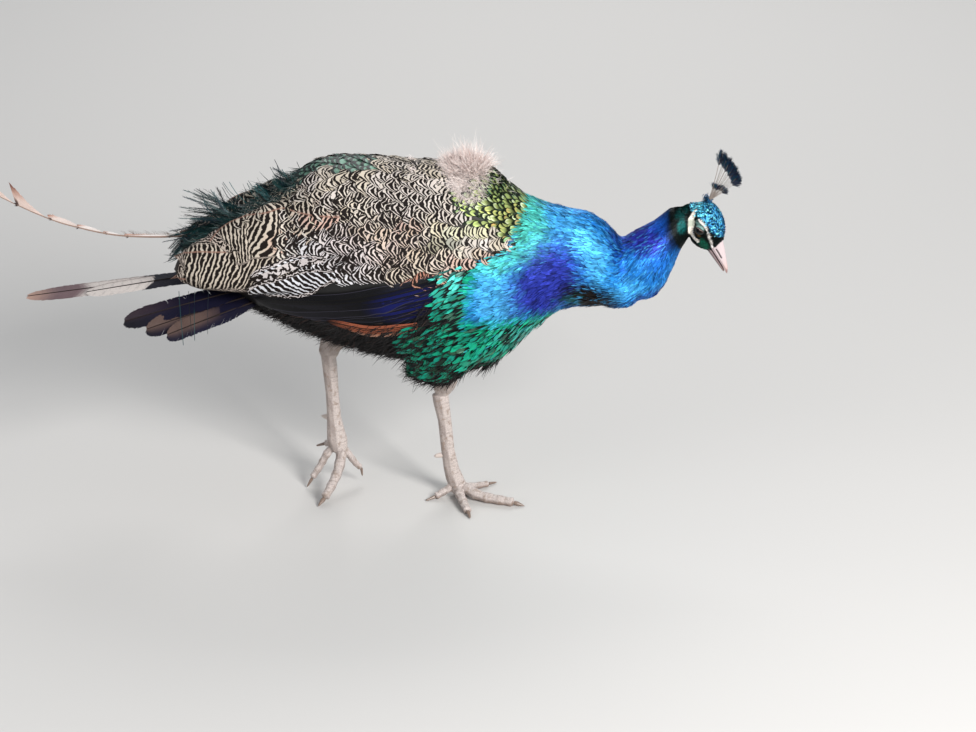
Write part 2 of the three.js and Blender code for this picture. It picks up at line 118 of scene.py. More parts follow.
def blend(colours, other, share):
    """Colours moved a share of the way to another one: a name, a code or an array."""
    goal = colour_of(other) if isinstance(other, str) else other
    return colours + (goal - colours) * np.asarray(share)[..., None]


def distance_along(line):
    return np.concatenate([[0], np.cumsum(np.linalg.norm(np.diff(line, axis=0), axis=1))])


def along_line(points, count):
    """The same line with count points, evenly spaced and smoothly curved."""
    points = np.asarray(points, float)
    ends = [2 * points[:1] - points[1:2], points, 2 * points[-1:] - points[-2:-1]]
    knots = np.concatenate(ends)
    share = np.linspace(0, len(points) - 1 - 1e-9, 40 * len(points))
    i = share.astype(int)
    t = (share - i)[:, None]
    a, b, c, d = (knots[i + k] for k in range(4))
    curved = (c - a) * t + (2 * a - 5 * b + 4 * c - d) * t**2 + (3 * b - a - 3 * c + d) * t**3
    fine = 0.5 * (2 * b + curved)
    travelled = distance_along(fine)
    wanted = np.linspace(0, travelled[-1], count)
    return np.stack([np.interp(wanted, travelled, fine[:, k]) for k in range(points.shape[1])], axis=1)


print("a quarter of the way up a soft step:", soft_step(0, 1, 0.25))

# %% [markdown]
# Every piece is made the same way: points in millimetres, faces, and a few values kept on each point for
# the materials to read. `tint` is the feather's own colour. `vane` holds how far a point lies along its
# feather, how far off the shaft (both in millimetres) and a random number for the whole feather. `share`
# holds the same two places as shares of the feather's size, and some pieces keep single numbers as well.
# The map called OFBake gives each feather a small patch of its own to be baked into.


# %% Make a piece
def make_mesh(name, points, faces):
    mesh = bpy.data.meshes.new(name)
    mesh.vertices.add(len(points))
    mesh.vertices.foreach_set("co", (np.asarray(points) * MM).ravel())
    mesh.loops.add(faces.size)
    mesh.loops.foreach_set("vertex_index", faces.ravel().astype(np.int32))
    mesh.polygons.add(len(faces))
    mesh.polygons.foreach_set("loop_start", np.arange(0, faces.size, faces.shape[1], dtype=np.int32))
    mesh.polygons.foreach_set("use_smooth", np.ones(len(faces), bool))
    mesh.update(calc_edges=True)
    piece = bpy.data.objects.new(name, mesh)
    bpy.context.scene.collection.objects.link(piece)
    return piece


def keep_values(piece, tint, vane=None, share=None, patch=None, **numbers):
    mesh = piece.data
    layer = mesh.attributes.new("tint", "FLOAT_COLOR", "POINT")
    layer.data.foreach_set("color", np.column_stack([np.clip(tint, 0, 1), np.ones(len(tint))]).ravel())
    for name, vectors in (("vane", vane), ("share", share)):
        if vectors is not None:
            layer = mesh.attributes.new(name, "FLOAT_VECTOR", "POINT")
            layer.data.foreach_set("vector", np.asarray(vectors, float).ravel())
    for name, values in numbers.items():
        mesh.attributes.new(name, "FLOAT", "POINT").data.foreach_set("value", values)
    if patch is not None:
        corners = np.empty(len(mesh.loops), np.int32)
        mesh.loops.foreach_get("vertex_index", corners)
        chart = mesh.uv_layers.new(name="OFBake")
        chart.data.foreach_set("uv", np.asarray(patch)[corners].ravel())


def add_piece(name, points, faces, material, slot, nodes=(), **values):
    """A finished piece. nodes are the solids whose place it takes, and values are kept on its points."""
    piece = make_mesh(name, points, faces)
    keep_values(piece, **values)
    piece.data.materials.append(material)
    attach(piece, "root")
    if nodes:
        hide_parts(*nodes)
    print(f"{piece.name}: {len(piece.data.polygons)} faces")


# %% [markdown]
# Two patterns of faces come back often: rings of points that close on themselves, as on a ball or a rod, and
# flat grids of points, as on a feather.


# %% Patterns of faces
def ring_faces(around, rings):
    first = np.arange(around)
    after = (first + 1) % around
    one = np.column_stack([first, after, after + around, first + around])
    return np.concatenate([one + ring * around for ring in range(rings - 1)])


def grid_faces(count, rows, columns):
    """The faces of count grids, one after the other."""
    corner = (np.arange(rows - 1)[:, None] * columns + np.arange(columns - 1)).ravel()
    one = np.column_stack([corner, corner + 1, corner + columns + 1, corner + columns])
    return (one[None] + (np.arange(count) * rows * columns)[:, None, None]).reshape(-1, 4)


def stacked(*values):
    """Values spread to one shape and put side by side on a new last axis."""
    return np.stack(np.broadcast_arrays(*values), axis=-1)


print("a grid of 3 by 3 points has", len(grid_faces(1, 3, 3)), "faces")

# %% [markdown]
# Materials are built from nodes. This one function adds a node, sets its options, and fills or links its
# inputs, so a whole material reads as a short list.


# %% Material helper
def add_node(tree, kind, inputs=None, **options):
    node = tree.nodes.new(kind)
    for name, value in options.items():
        setattr(node, name, value)
    for socket, value in (inputs or {}).items():
        if isinstance(value, bpy.types.NodeSocket):
            tree.links.new(value, node.inputs[socket])
        else:
            node.inputs[socket].default_value = value
    return node


def new_material(name):
    material = bpy.data.materials.new(name)
    material.use_nodes = True
    tree = material.node_tree
    tree.nodes.clear()
    return material, tree


def colour4(code):
    return (*linear(code), 1.0)


# %% [markdown]
# ## The skin
# Under the feathers is one smooth skin. The solids are joined, turned to small even cells with a voxel
# remesh, which closes the thin cuts between them, smoothed, and then drawn in by the depth of the coat.


# %% Read solids
def solid_surface(names):
    points, triangles, first = [], [], 0
    for name in names:
        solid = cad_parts[name]
        mesh = solid.data
        mesh.calc_loop_triangles()
        place = np.empty(3 * len(mesh.vertices))
        mesh.vertices.foreach_get("co", place)
        corner = np.empty(3 * len(mesh.loop_triangles), np.int32)
        mesh.loop_triangles.foreach_get("vertices", corner)
        world = np.array(solid.matrix_world)
        points.append((place.reshape(-1, 3) @ world[:3, :3].T + world[:3, 3]) / MM)
        triangles.append(corner.reshape(-1, 3) + first)
        first += len(mesh.vertices)
    return np.concatenate(points), np.concatenate(triangles)


def remeshed(names, cell, rounds):
    """One smooth surface over the named solids: its points, normals and four-sided faces."""
    lump = make_mesh("lump", *solid_surface(names))
    cells = lump.modifiers.new("cells", "REMESH")
    cells.mode = "VOXEL"
    cells.voxel_size = cell * MM
    ease = lump.modifiers.new("ease", "SMOOTH")
    ease.iterations = rounds
    shaped = lump.evaluated_get(bpy.context.evaluated_depsgraph_get())
    mesh = shaped.to_mesh()
    points = np.empty(3 * len(mesh.vertices))
    mesh.vertices.foreach_get("co", points)
    normals = np.empty(3 * len(mesh.vertices))
    mesh.vertex_normals.foreach_get("vector", normals)
    faces = np.empty(len(mesh.loops), np.int32)
    mesh.loops.foreach_get("vertex_index", faces)
    shaped.to_mesh_clear()
    bpy.data.objects.remove(lump)
    return points.reshape(-1, 3) / MM, normals.reshape(-1, 3), faces.reshape(-1, 4)


SIDES = {"right": -1, "left": 1}
WING_PARTS = [f"wing_{side}_{part}" for side in SIDES for part in ("coverts", "secondaries", "primaries")]
BODY_SOLIDS = ["trunk", "breast", "neck_base", "neck_front", "thigh_left", "thigh_right", *WING_PARTS]
BODY_CELL = 2.6
HEAD_CELL = 0.95
body_points, body_normals, body_faces = remeshed(BODY_SOLIDS, BODY_CELL, 8)
print("body skin:", len(body_points), "points")

# %% [markdown]
# The head has a frame of its own, along the bill, to the bird's left and up through the crown. It points
# down and a little to the bird's right. Marks on the face are placed in that frame.

# %% The head's own frame
HEAD_AT = np.array([279.5, 0, 352.5])
HEAD_PITCH = math.radians(50)
HEAD_YAW = math.radians(-25)
turn_z = np.array(
    [
        [math.cos(HEAD_YAW), -math.sin(HEAD_YAW), 0],
        [math.sin(HEAD_YAW), math.cos(HEAD_YAW), 0],
        [0, 0, 1],
    ]
)
turn_y = np.array(
    [
        [math.cos(HEAD_PITCH), 0, math.sin(HEAD_PITCH)],
        [0, 1, 0],
        [-math.sin(HEAD_PITCH), 0, math.cos(HEAD_PITCH)],
    ]
)
HEAD_AXES = turn_z @ turn_y  # its columns are forward, left and up


def to_head(points):
    return (points - HEAD_AT) @ HEAD_AXES


def from_head(points):
    return np.asarray(points, float) @ HEAD_AXES.T + HEAD_AT


head_points, head_normals, head_faces = remeshed(["head", "neck_front"], HEAD_CELL, 6)
in_head = to_head(head_points)
NAPE_CUT = -34  # behind this, along the head, the body's own skin carries on
THROAT_CUT = 318  # and below this height
kept = (in_head[:, 0] > NAPE_CUT) & (head_points[:, 2] > THROAT_CUT)
head_faces = head_faces[kept[head_faces].all(axis=1)]
used = np.unique(head_faces)
renumbered = np.full(len(head_points), -1)
renumbered[used] = np.arange(len(used))
head_faces = renumbered[head_faces]
head_points, head_normals = head_points[used], head_normals[used]
print("head skin:", len(head_points), "points, bill direction", HEAD_AXES[:, 0].round(2))

# %% [markdown]
# The coat is thin on the face, a few millimetres on the neck and body, deeper on the thighs and along the
# top of the neck's base, and deepest on the nape.


# %% Draw the skin in
def coat_depth(points):
    depth = np.full(len(points), 2.6)
    depth = depth + (1.6 - depth) * soft_step(110, 160, points[:, 0])
    near_head = soft_step(55, 35, np.linalg.norm(points - HEAD_AT, axis=1))
    depth = depth + (0.9 - depth) * near_head
    local = to_head(points)
    depth = depth + 6.0 * soft_step(19, 5, np.hypot(local[:, 0] + 29, local[:, 2] - 3))
    ridge = np.interp(points[:, 0], [30, 64, 97, 116, 150], [412, 400, 384, 377, 352])
    along_ridge = soft_step(34, 56, points[:, 0]) * soft_step(150, 118, points[:, 0])
    depth = depth + 4.0 * soft_step(-42, -2, points[:, 2] - ridge) * along_ridge
    return depth + 3.5 * soft_step(215, 190, points[:, 2]) * soft_step(60, 20, points[:, 0])


body_points = body_points - body_normals * coat_depth(body_points)[:, None]
head_points = head_points - head_normals * coat_depth(head_points)[:, None]
skin_points = np.concatenate([body_points, head_points])
skin_normals = np.concatenate([body_normals, head_normals])
skin_faces = np.concatenate([body_faces, head_faces + len(body_points)])
print("skin:", len(skin_faces), "faces")

# %% [markdown]
# ## Where each colour lies
# Skin and feathers must agree on the markings, so both ask the same function. It paints zones and soft oval
# patches on the bird's side view, alike on both sides: forward is x, up is z, in millimetres.


# %% Plumage colours
def oval(points, centre, reach, turn=0.0, soft=0.45):
    """How fully an oval patch of the side view covers each point, from 0 to 1."""
    x = points[:, 0] - centre[0]
    z = points[:, -1] - centre[1]
    angle = math.radians(turn)
    across = (x * math.cos(angle) + z * math.sin(angle)) / reach[0]
    upward = (z * math.cos(angle) - x * math.sin(angle)) / reach[1]
    return soft_step(1 + soft, 1 - soft, np.hypot(across, upward))


def line_distance(places, line):
    """Each place's distance to a line of points, in the plane they share."""
    line = np.asarray(line, float)
    best = np.full(len(places), 1e9)
    for start, end in zip(line[:-1], line[1:]):
        way = end - start
        share = np.clip((places - start) @ way / (way @ way), 0, 1)
        best = np.minimum(best, np.linalg.norm(places - start - share[:, None] * way, axis=1))
    return best


COVERTS_EDGE = [
    [-344, 262], [-262, 268], [-215, 286], [-170, 312], [-119, 324], [-62, 313], [-36, 303], [-18, 324],
]
SHOULDER_UNDER = [[-18, 324], [14, 331], [48, 340], [66, 342]]
MANTLE_EDGE = [[66, 342], [57, 353], [34, 371], [11, 384], [2, 399], [-4, 440]]


def height_of(line, x):
    line = np.asarray(line, float)
    order = np.argsort(line[:, 0])
    return np.interp(x, line[order, 0], line[order, 1])


def barred_zone(points):
    x, z = points[:, 0], points[:, 2]
    above_edge = np.where(x < -18, z - height_of(COVERTS_EDGE, x), z - height_of(SHOULDER_UNDER, x))
    under_mantle = np.where(x > -12, height_of(MANTLE_EDGE, x) - z, 1)
    return soft_step(-2, 2, above_edge) * soft_step(-3, 1, under_mantle) * soft_step(68, 60, x)


def downy(points):
    """The patch of loose down on top of the back and a little down the side."""
    x, z = points[:, 0], points[:, 2]
    top = soft_step(-22, -12, x) * soft_step(42, 36, x) * soft_step(414, 422, z)
    return np.minimum(np.maximum(top, oval(points, (9, 411), (16, 13), -20, 0.4)), 1) * (z > 392)


def mantle_zone(points):
    x, z = points[:, 0], points[:, 2]
    above = z - height_of(MANTLE_EDGE, x)
    turquoise_edge = soft_step(68, 60, x - 0.9 * (z - 350))
    return soft_step(-3, 1, above) * soft_step(-12, -4, x) * turquoise_edge


def emerald_zone(points):
    x, z = points[:, 0], points[:, 2]
    behind = soft_step(20, 4, x - 0.2 * (z - 300))
    below = soft_step(266, 246, z + 0.1 * (x - 40))
    return np.maximum(behind, below) * soft_step(128, 104, x)


CRESCENT = [  # forward, up, half its width
    [-14.5, 5.6, 1.2], [-13, 1.5, 2.1], [-10.2, -2.3, 2.4], [-6.6, -4.8, 2.6],
    [-3.4, -7.4, 2.5], [-0.3, -11, 1.8], [2.4, -14.4, 1.3], [6.4, -17.2, 1.6],
    [10.5, -17.9, 2.4], [15.5, -17, 2.3],
]
STRIPE = [
    [-4.4, 4.2, 1.0], [-1.1, 4.6, 1.9], [3.4, 4.9, 1.7], [7.7, 4.2, 1.1],
    [12.3, 2.4, 0.8], [17.6, 0, 1.0], [23.6, -3.3, 1.2], [33, -8.2, 1.1],
]
CROWN_EDGE = [
    [-40, -9], [-26, -3], [-20, -1], [-15.5, 1.3], [-8.6, 4.2], [-1.3, 8],
    [7.3, 8.6], [14.4, 6.5], [22, 5.2], [28.2, 8], [36, 11],
]
EYE_AT = np.array([6.2, 13.2, -3.4])
EYE_RADIUS = 6.0


def outside_band(places, band):
    """How far each place lies outside a drawn band whose half-width changes along it."""
    smooth = along_line(band, 70)
    gaps = np.linalg.norm(places[:, None] - smooth[None, :, :2], axis=2)
    return (gaps - smooth[None, :, 2]).min(axis=1)


def face_marks(points):
    """The bare white skin of the face: the crescent under the eye and the stripe over it."""
    local = to_head(points)
    side_view = local[:, [0, 2]]
    close = np.linalg.norm(local, axis=1) < 45
    crescent, stripe = np.zeros((2, len(points)))
    crescent[close] = soft_step(0.35, -0.35, outside_band(side_view[close], CRESCENT))
    stripe[close] = soft_step(0.3, -0.3, outside_band(side_view[close], STRIPE))
    off_middle = np.abs(local[:, 1])
    return crescent * soft_step(5, 8, off_middle), stripe * soft_step(2, 5, off_middle)


def over_crown(local):
    """How surely a place in the head's frame is on the crown."""
    edge = height_of(CROWN_EDGE, local[:, 0])
    return soft_step(-1, 1, local[:, 2] - edge)


def head_colour(points, colours):
    local = to_head(points)
    side_view = local[:, [0, 2]]
    near = soft_step(45, 41, np.linalg.norm(local * [1, 0.9, 1] - [2, 0, 0], axis=1))
    face = all_over(points, "throat")
    for paint, centre, reach, turn, strength in [
        ("royal", (-36, 4), (14, 9), 15, 0.45),
        # painted highlights: dull teal patches on the black behind and below the eye
        ("teal", (-22, -10), (5, 5), 0, 0.2),
        ("teal", (-9, -15), (8, 4), -35, 0.4),
        ("cheek green", (23, -13), (8, 4), -18, 0.8),
        ("cheek green", (26, -19), (9, 2.4), -12, 0.6),
        ("ochre", (9, -9.8), (3.6, 1.8), 0, 0.8),
        ("lid", (-0.6, 1), (4.6, 3), 8, 0.7),
    ]:
        face = blend(face, paint, strength * oval(side_view, centre, reach, turn))
    crown = over_crown(local)
    bright = PAINT["crown"] * (1 - 0.75 * soft_step(-20, -30, local[:, 0]))[:, None]
    bright = blend(bright, PAINT["turquoise"] * 0.9, 0.45 * oval(side_view, (-14, 8), (10, 8)))
    face = face + (bright - face) * crown[:, None]
    crescent, stripe = face_marks(points)
    # painted shade: a greyish green over the middle of the bare crescent
    shaded = blend(all_over(face, "crescent"), "#8c9a86", 0.7 * oval(side_view, (-6, -6), (5, 4)))
    face = face + (shaded - face) * crescent[:, None]
    face = blend(face, "face white", stripe)
    return blend(colours, face, near)


def plumage(points):
    """The plumage colour at each point of the body, in linear values."""
    x, z = points[:, 0], points[:, 2]
    colours = all_over(points, "azure")
    for paint, centre, reach, turn, strength in [
        ("light azure", (128, 346), (52, 13), -30, 0.8),
        ("light azure", (150, 318), (13, 34), 20, 0.9),
        ("light azure", (42, 290), (27, 44), 8, 0.95),
        ("turquoise", (72, 362), (24, 46), 14, 1),
        ("turquoise", (42, 330), (26, 16), 0, 0.85),
        ("violet", (95, 295), (40, 50), -15, 0.92),
        ("violet", (207, 334), (34, 15), -5, 0.95),
        ("royal", (208, 306), (30, 22), 0, 0.2),
        # painted highlight: a light azure patch low on the neck
        ("light azure", (190, 276), (22, 12), 20, 0.7),
        ("violet", (216, 262), (26, 12), 20, 0.5),
        # partly painted shade: the dark fold where the neck meets the breast, over its own dark feathers
        ("soot", (147, 268), (37, 20), -25, 1),
        ("royal", (182, 326), (6, 26), 12, 0.85),
        ("night", (181, 322), (3, 20), 12, 0.5),
        ("teal", (124, 268), (14, 7), -20, 0.35),
        ("royal", (229, 352), (16, 12), 0, 0.8),
        ("royal", (232, 316), (13, 26), -35, 0.4),
        ("royal", (238, 338), (9, 11), 0, 0.7),
        ("night", (246, 345), (13, 24), 0, 0.95),
        ("night", (226, 362), (34, 7), 33, 0.75),
    ]:
        colours = blend(colours, paint, strength * oval(points, centre, reach, turn))
    colours = blend(colours, "emerald", emerald_zone(points))
    colours = blend(colours, "moss", mantle_zone(points) * soft_step(58, 40, x - 0.9 * (z - 350)))
    belly = soft_step(-20, -45, x) * soft_step(330, 300, z)
    colours = blend(colours, "soot", np.maximum(belly, soft_step(196, 180, z)))
    colours = blend(colours, "covert skin", barred_zone(points))
    colours = blend(colours, "#c2b5ae", 0.9 * downy(points))
    rump = soft_step(-150, -170, x) * soft_step(26, 18, np.abs(points[:, 1])) * (z > 300)
    colours = blend(colours, "rump", rump)
    under_wing = (x < -20) & (z < height_of(COVERTS_EDGE, x)) & (z > 255)
    colours = blend(colours, PAINT["soot"] * 0.4, under_wing)
    return head_colour(points, colours)


print("zones painted on", len(skin_points), "skin points")

# %% [markdown]
# ## Finishes of feathers
# A feather is keratin, with a gloss near 1.54. In the blue and green ones, stacked layers a few hundred
# nanometres thick give a metallic colour, so their material is partly metallic. The barbs run out from the
# shaft as fine slanting lines, about two to a millimetre; here they are drawn coarser, so that they show.

# %% Feather materials
BARB_PITCH = 1.1  # millimetres between the drawn barbs; real ones are twice as fine


def maths(tree, operation, first, second=0.0):
    return add_node(tree, "ShaderNodeMath", {0: first, 1: second}, operation=operation).outputs[0]


def stored(tree, name, output="Color"):
    """A value that keep_values stored on the points."""
    return add_node(tree, "ShaderNodeAttribute", attribute_name=name).outputs[output]


def along_and_off(tree, name):
    """Of the vector called vane or share: how far along the feather, and how far off its shaft."""
    split = add_node(tree, "ShaderNodeSeparateXYZ", {"Vector": stored(tree, name, "Vector")})
    return split.outputs["X"], maths(tree, "ABSOLUTE", split.outputs["Y"])


def ramp(tree, value, low, high, to_low=0.0, to_high=1.0):
    inputs = {"Value": value, "From Min": low, "From Max": high, "To Min": to_low, "To Max": to_high}
    return add_node(tree, "ShaderNodeMapRange", inputs, interpolation_type="SMOOTHSTEP").outputs["Result"]


def mixed(tree, share, first, second, kind="MIX"):
    node = add_node(tree, "ShaderNodeMix", data_type="RGBA", blend_type=kind)
    for socket, value in ((0, share), (6, first), (7, second)):
        if isinstance(value, bpy.types.NodeSocket):
            tree.links.new(value, node.inputs[socket])
        else:
            node.inputs[socket].default_value = value
    return node.outputs[2]


def scaled(tree, colour, factor):
    grey = add_node(tree, "ShaderNodeCombineColor", {"Red": factor, "Green": factor, "Blue": factor})
    return mixed(tree, 1.0, colour, grey.outputs[0], "MULTIPLY")


def barb_lines(tree, along, off_shaft, pitch=BARB_PITCH, slant=0.8):
    """A wave from -1 to 1 whose crests slant out from the shaft towards the tip."""
    slanted = maths(tree, "SUBTRACT", along, maths(tree, "MULTIPLY", off_shaft, slant))
    return maths(tree, "SINE", maths(tree, "MULTIPLY", slanted, 2 * math.pi / pitch))


def surface(tree, colour, roughness=0.5, metallic=0.0, bump=None, depth=0.1, **sockets):
    inputs = {"Base Color": colour, "Roughness": roughness, "Metallic": metallic}
    inputs.update({name.replace("_", " "): value for name, value in sockets.items()})
    if bump is not None:
        relief = {"Height": bump, "Distance": depth * MM, "Strength": 0.6}
        inputs["Normal"] = add_node(tree, "ShaderNodeBump", relief).outputs["Normal"]
    shader = add_node(tree, "ShaderNodeBsdfPrincipled", inputs)
    add_node(tree, "ShaderNodeOutputMaterial", {"Surface": shader.outputs["BSDF"]})


def satin_feather(name, metallic, roughness, base_dark=0.25):
    """Narrow body feathers with a structural colour: bright at the tip, darker at the root as painted shade
    under the feathers that overlap it.
    """
    material, tree = new_material(name)
    along, off_shaft = along_and_off(tree, "vane")
    share, _ = along_and_off(tree, "share")
    tint = stored(tree, "tint")
    streaks = ramp(tree, barb_lines(tree, along, off_shaft, pitch=1.6), -1, 1, 0.8, 1.12)
    # painted shade: darker towards the root, where the feather lies under its neighbours
    depth = ramp(tree, share, 0.1, 0.75, base_dark, 1.0)
    colour = scaled(tree, tint, maths(tree, "MULTIPLY", streaks, depth))
    surface(tree, colour, roughness, metallic, Specular_IOR_Level=0.12)
    return material


blue_sheen = satin_feather("neck feather, structural blue, satin", metallic=0.35, roughness=0.42)


def edged_feather(name, edge, centre, edge_start, metallic, base_dark):
    """Rounded scale-like feathers: a coloured middle inside a dark rim, dark towards the root."""
    material, tree = new_material(name)
    along, off_shaft = along_and_off(tree, "vane")
    share, share_off = along_and_off(tree, "share")
    tint = stored(tree, "tint")
    inner = ramp(tree, share, 0.35, 0.8, 0.0, 1.0)
    warmer = mixed(tree, ramp(tree, maths(tree, "ADD", inner, share_off), 0.5, 1.5), colour4(centre), tint)
    reach = maths(tree, "MAXIMUM", share, share_off)
    rim = ramp(tree, reach, edge_start, edge_start + 0.06)
    streaks = ramp(tree, barb_lines(tree, along, off_shaft), -1, 1, 0.85, 1.1)
    shade = maths(tree, "MULTIPLY", ramp(tree, share, 0.2, 0.6, base_dark, 1.0), streaks)
    colour = mixed(tree, rim, scaled(tree, warmer, shade), colour4(edge))
    surface(tree, colour, 0.42, metallic, Specular_IOR_Level=0.2)
    return material


golden_scale = edged_feather("mantle feather, golden green", "#101a0c", "#8f9c5c", 0.76, 0.12, 0.16)
green_scale = edged_feather("lower back feather, dark green", "#0a120f", "#5c7f6c", 0.78, 0.2, 0.3)


def glowing_tip(name):
    """Breast feathers: sooty, with a glowing green tip that breaks up into barbs at its edge."""
    material, tree = new_material(name)
    along, off_shaft = along_and_off(tree, "vane")
    share, share_off = along_and_off(tree, "share")
    tint = stored(tree, "tint")
    reach = maths(tree, "SUBTRACT", share, maths(tree, "MULTIPLY", share_off, 0.22))
    lit = ramp(tree, reach, 0.42, 0.62)
    streaks = ramp(tree, barb_lines(tree, along, off_shaft, pitch=1.5), -1, 1, 0.7, 1.15)
    colour = mixed(tree, lit, colour4("#0a1414"), scaled(tree, tint, streaks))
    surface(tree, colour, 0.42, 0.4, Specular_IOR_Level=0.2)
    return material


emerald_tip = glowing_tip("breast feather, emerald tip")

# %% [markdown]
# The wing's covering feathers are off-white with dark bars that run across each feather, waver, swell and
# break. The wave takes its place from the distance along the shaft, and noises fixed to the feather bend it
# and change its width. Near the rim of a big tertial the bars turn into fine lines that follow the rim.


# %% Barred feathers
def noise_on(tree, place, scale, detail=1.5):
    inputs = {"Vector": place, "Scale": scale, "Detail": detail, "Roughness": 0.5}
    return maths(tree, "SUBTRACT", add_node(tree, "ShaderNodeTexNoise", inputs).outputs[0], 0.5)


def summed(tree, *values):
    total = values[0]
    for value in values[1:]:
        total = maths(tree, "ADD", total, value)
    return total


def wave_of(tree, turns):
    return maths(tree, "SINE", maths(tree, "MULTIPLY", turns, 2 * math.pi))


def barred_feather(name, period, waver, darkness=0.0, rim_width=0.0, shaft=None, skew=0.0, lean=0.28):
    """Dark bars period millimetres apart on a pale feather; rim_width is how far the fine rim reaches."""
    material, tree = new_material(name)
    tint = stored(tree, "tint")
    vane = stored(tree, "vane", "Vector")
    split = add_node(tree, "ShaderNodeSeparateXYZ", {"Vector": vane})
    along, across, number = (split.outputs[axis] for axis in "XYZ")
    off_shaft = maths(tree, "ABSOLUTE", across)
    numbers_apart = {0: vane, 1: (1, 1, 90)}  # so that no two feathers share a stretch of noise
    place = add_node(tree, "ShaderNodeVectorMath", numbers_apart, operation="MULTIPLY").outputs["Vector"]
    bend = noise_on(tree, place, 0.12)
    swell = noise_on(tree, place, 0.09, 1.0)
    grain = noise_on(tree, place, 0.4, 2.0)
    slant = summed(
        tree, maths(tree, "MULTIPLY", maths(tree, "POWER", off_shaft, 1.6), lean / (3 * period)),
        maths(tree, "MULTIPLY", across, -skew / period),
    )
    turns = summed(
        tree, maths(tree, "DIVIDE", along, period), slant, maths(tree, "MULTIPLY", bend, waver),
        maths(tree, "MULTIPLY", number, 7.0),
    )
    height = summed(
        tree, wave_of(tree, turns), maths(tree, "MULTIPLY", swell, 1.3), maths(tree, "MULTIPLY", grain, 2.2),
        maths(tree, "MULTIPLY", maths(tree, "SUBTRACT", number, 0.5), 0.5),
        darkness, stored(tree, "bold", "Fac"),
    )
    dark = ramp(tree, height, -0.22, 0.22)
    pale = tint
    if rim_width:  # the fine lines along the rim
        rim = stored(tree, "rim", "Fac")
        lines = summed(
            tree, maths(tree, "DIVIDE", rim, RIM_PITCH), maths(tree, "MULTIPLY", bend, 3.0),
            maths(tree, "MULTIPLY", noise_on(tree, place, 0.3), 1.1),
        )
        ragged = summed(tree, wave_of(tree, lines), maths(tree, "MULTIPLY", grain, 1.8), 0.3)
        fine = ramp(tree, ragged, -0.25, 0.25)
        near_rim = ramp(tree, rim, rim_width * 1.15, rim_width * 0.85)
        dark = add_node(tree, "ShaderNodeMix", {0: near_rim, 2: dark, 3: fine}).outputs[0]
        pale = mixed(tree, maths(tree, "MULTIPLY", near_rim, 0.6), tint, colour4("#b5a59c"))
    barbs = ramp(tree, barb_lines(tree, along, off_shaft), -1, 1, 0.9, 1.06)
    colour = mixed(tree, dark, scaled(tree, pale, barbs), colour4("#17100d"))
    if shaft:
        along_shaft = maths(tree, "MULTIPLY", ramp(tree, off_shaft, 1.3, 0.6), 0.75)
        colour = mixed(tree, along_shaft, colour, colour4(shaft))
    surface(tree, colour, 0.7, Specular_IOR_Level=0.15)
    return material


RIM_PITCH = 3.3  # millimetres from one fine line to the next
COVERT_BARS = 5.6  # millimetres from one dark bar to the next
wing_bars = barred_feather("wing covert, barred off-white and umber", COVERT_BARS, 1.9, 0.54)
tertial_bars = barred_feather(
    "tertial, barred cream and umber", 6.0, 1.5, 0.42, rim_width=16, shaft="#8d6a5c", lean=-0.1
)
white_bars = barred_feather("small tertial, barred white", 7.6, 1.1, 0.2, rim_width=4.0, skew=0.9)


def flight_feather(name, roughness, shaft="#20120c", lines=0.25, edge=None):
    """Large stiff feathers: the colour is kept on the points, and the barbs catch the light."""
    material, tree = new_material(name)
    along, off_shaft = along_and_off(tree, "vane")
    tint = stored(tree, "tint")
    wave = barb_lines(tree, along, off_shaft)
    colour = scaled(tree, tint, ramp(tree, wave, -1, 1, 1 - lines, 1 + lines))
    on_shaft = ramp(tree, off_shaft, 0.9, 0.5)
    colour = mixed(tree, on_shaft, colour, colour4(shaft))
    if edge:
        rim = stored(tree, "rim", "Fac")
        colour = mixed(tree, ramp(tree, rim, 1.1, 0.2), colour, colour4(edge))
    surface(tree, colour, roughness, bump=wave, depth=0.12, Specular_IOR_Level=0.12)
    return material


dark_flight = flight_feather("secondary, blue-black, glossy", 0.45, shaft="#0a0908", edge="#33313c")
rufous_flight = flight_feather("primary, rufous", 0.6)
tail_brown = flight_feather("tail feather, worn brown", 0.55, shaft="#2c221e", lines=0.15)


def soft_strand(name, roughness=0.9, root_shade=0.35):
    """Down and fluff: loose barbs without hooks, matt, darker towards the root."""
    material, tree = new_material(name)
    share, _ = along_and_off(tree, "share")
    colour = scaled(tree, stored(tree, "tint"), ramp(tree, share, 0.0, 0.8, root_shade, 1.0))
    surface(tree, colour, roughness)
    return material


body_fluff = soft_strand("belly fluff, sooty brown")
pale_down = soft_strand("down, greyish white", root_shade=0.7)
rump_teal = soft_strand("rump plume, dark teal", roughness=0.45)
print(len(bpy.data.materials), "materials so far")

# %% [markdown]
# ## The skin piece and the eyelids
# The lids are shells of a ball a little larger than the eye, open in an almond that tilts up towards the
# bill. They belong to the skin, so they are joined to it and take its colours.

# %% Eyelids
LID_RADIUS = EYE_RADIUS + 0.75
SLIT_TILT = math.radians(18)
LID_TURNS = 64
LID_RINGS = 11


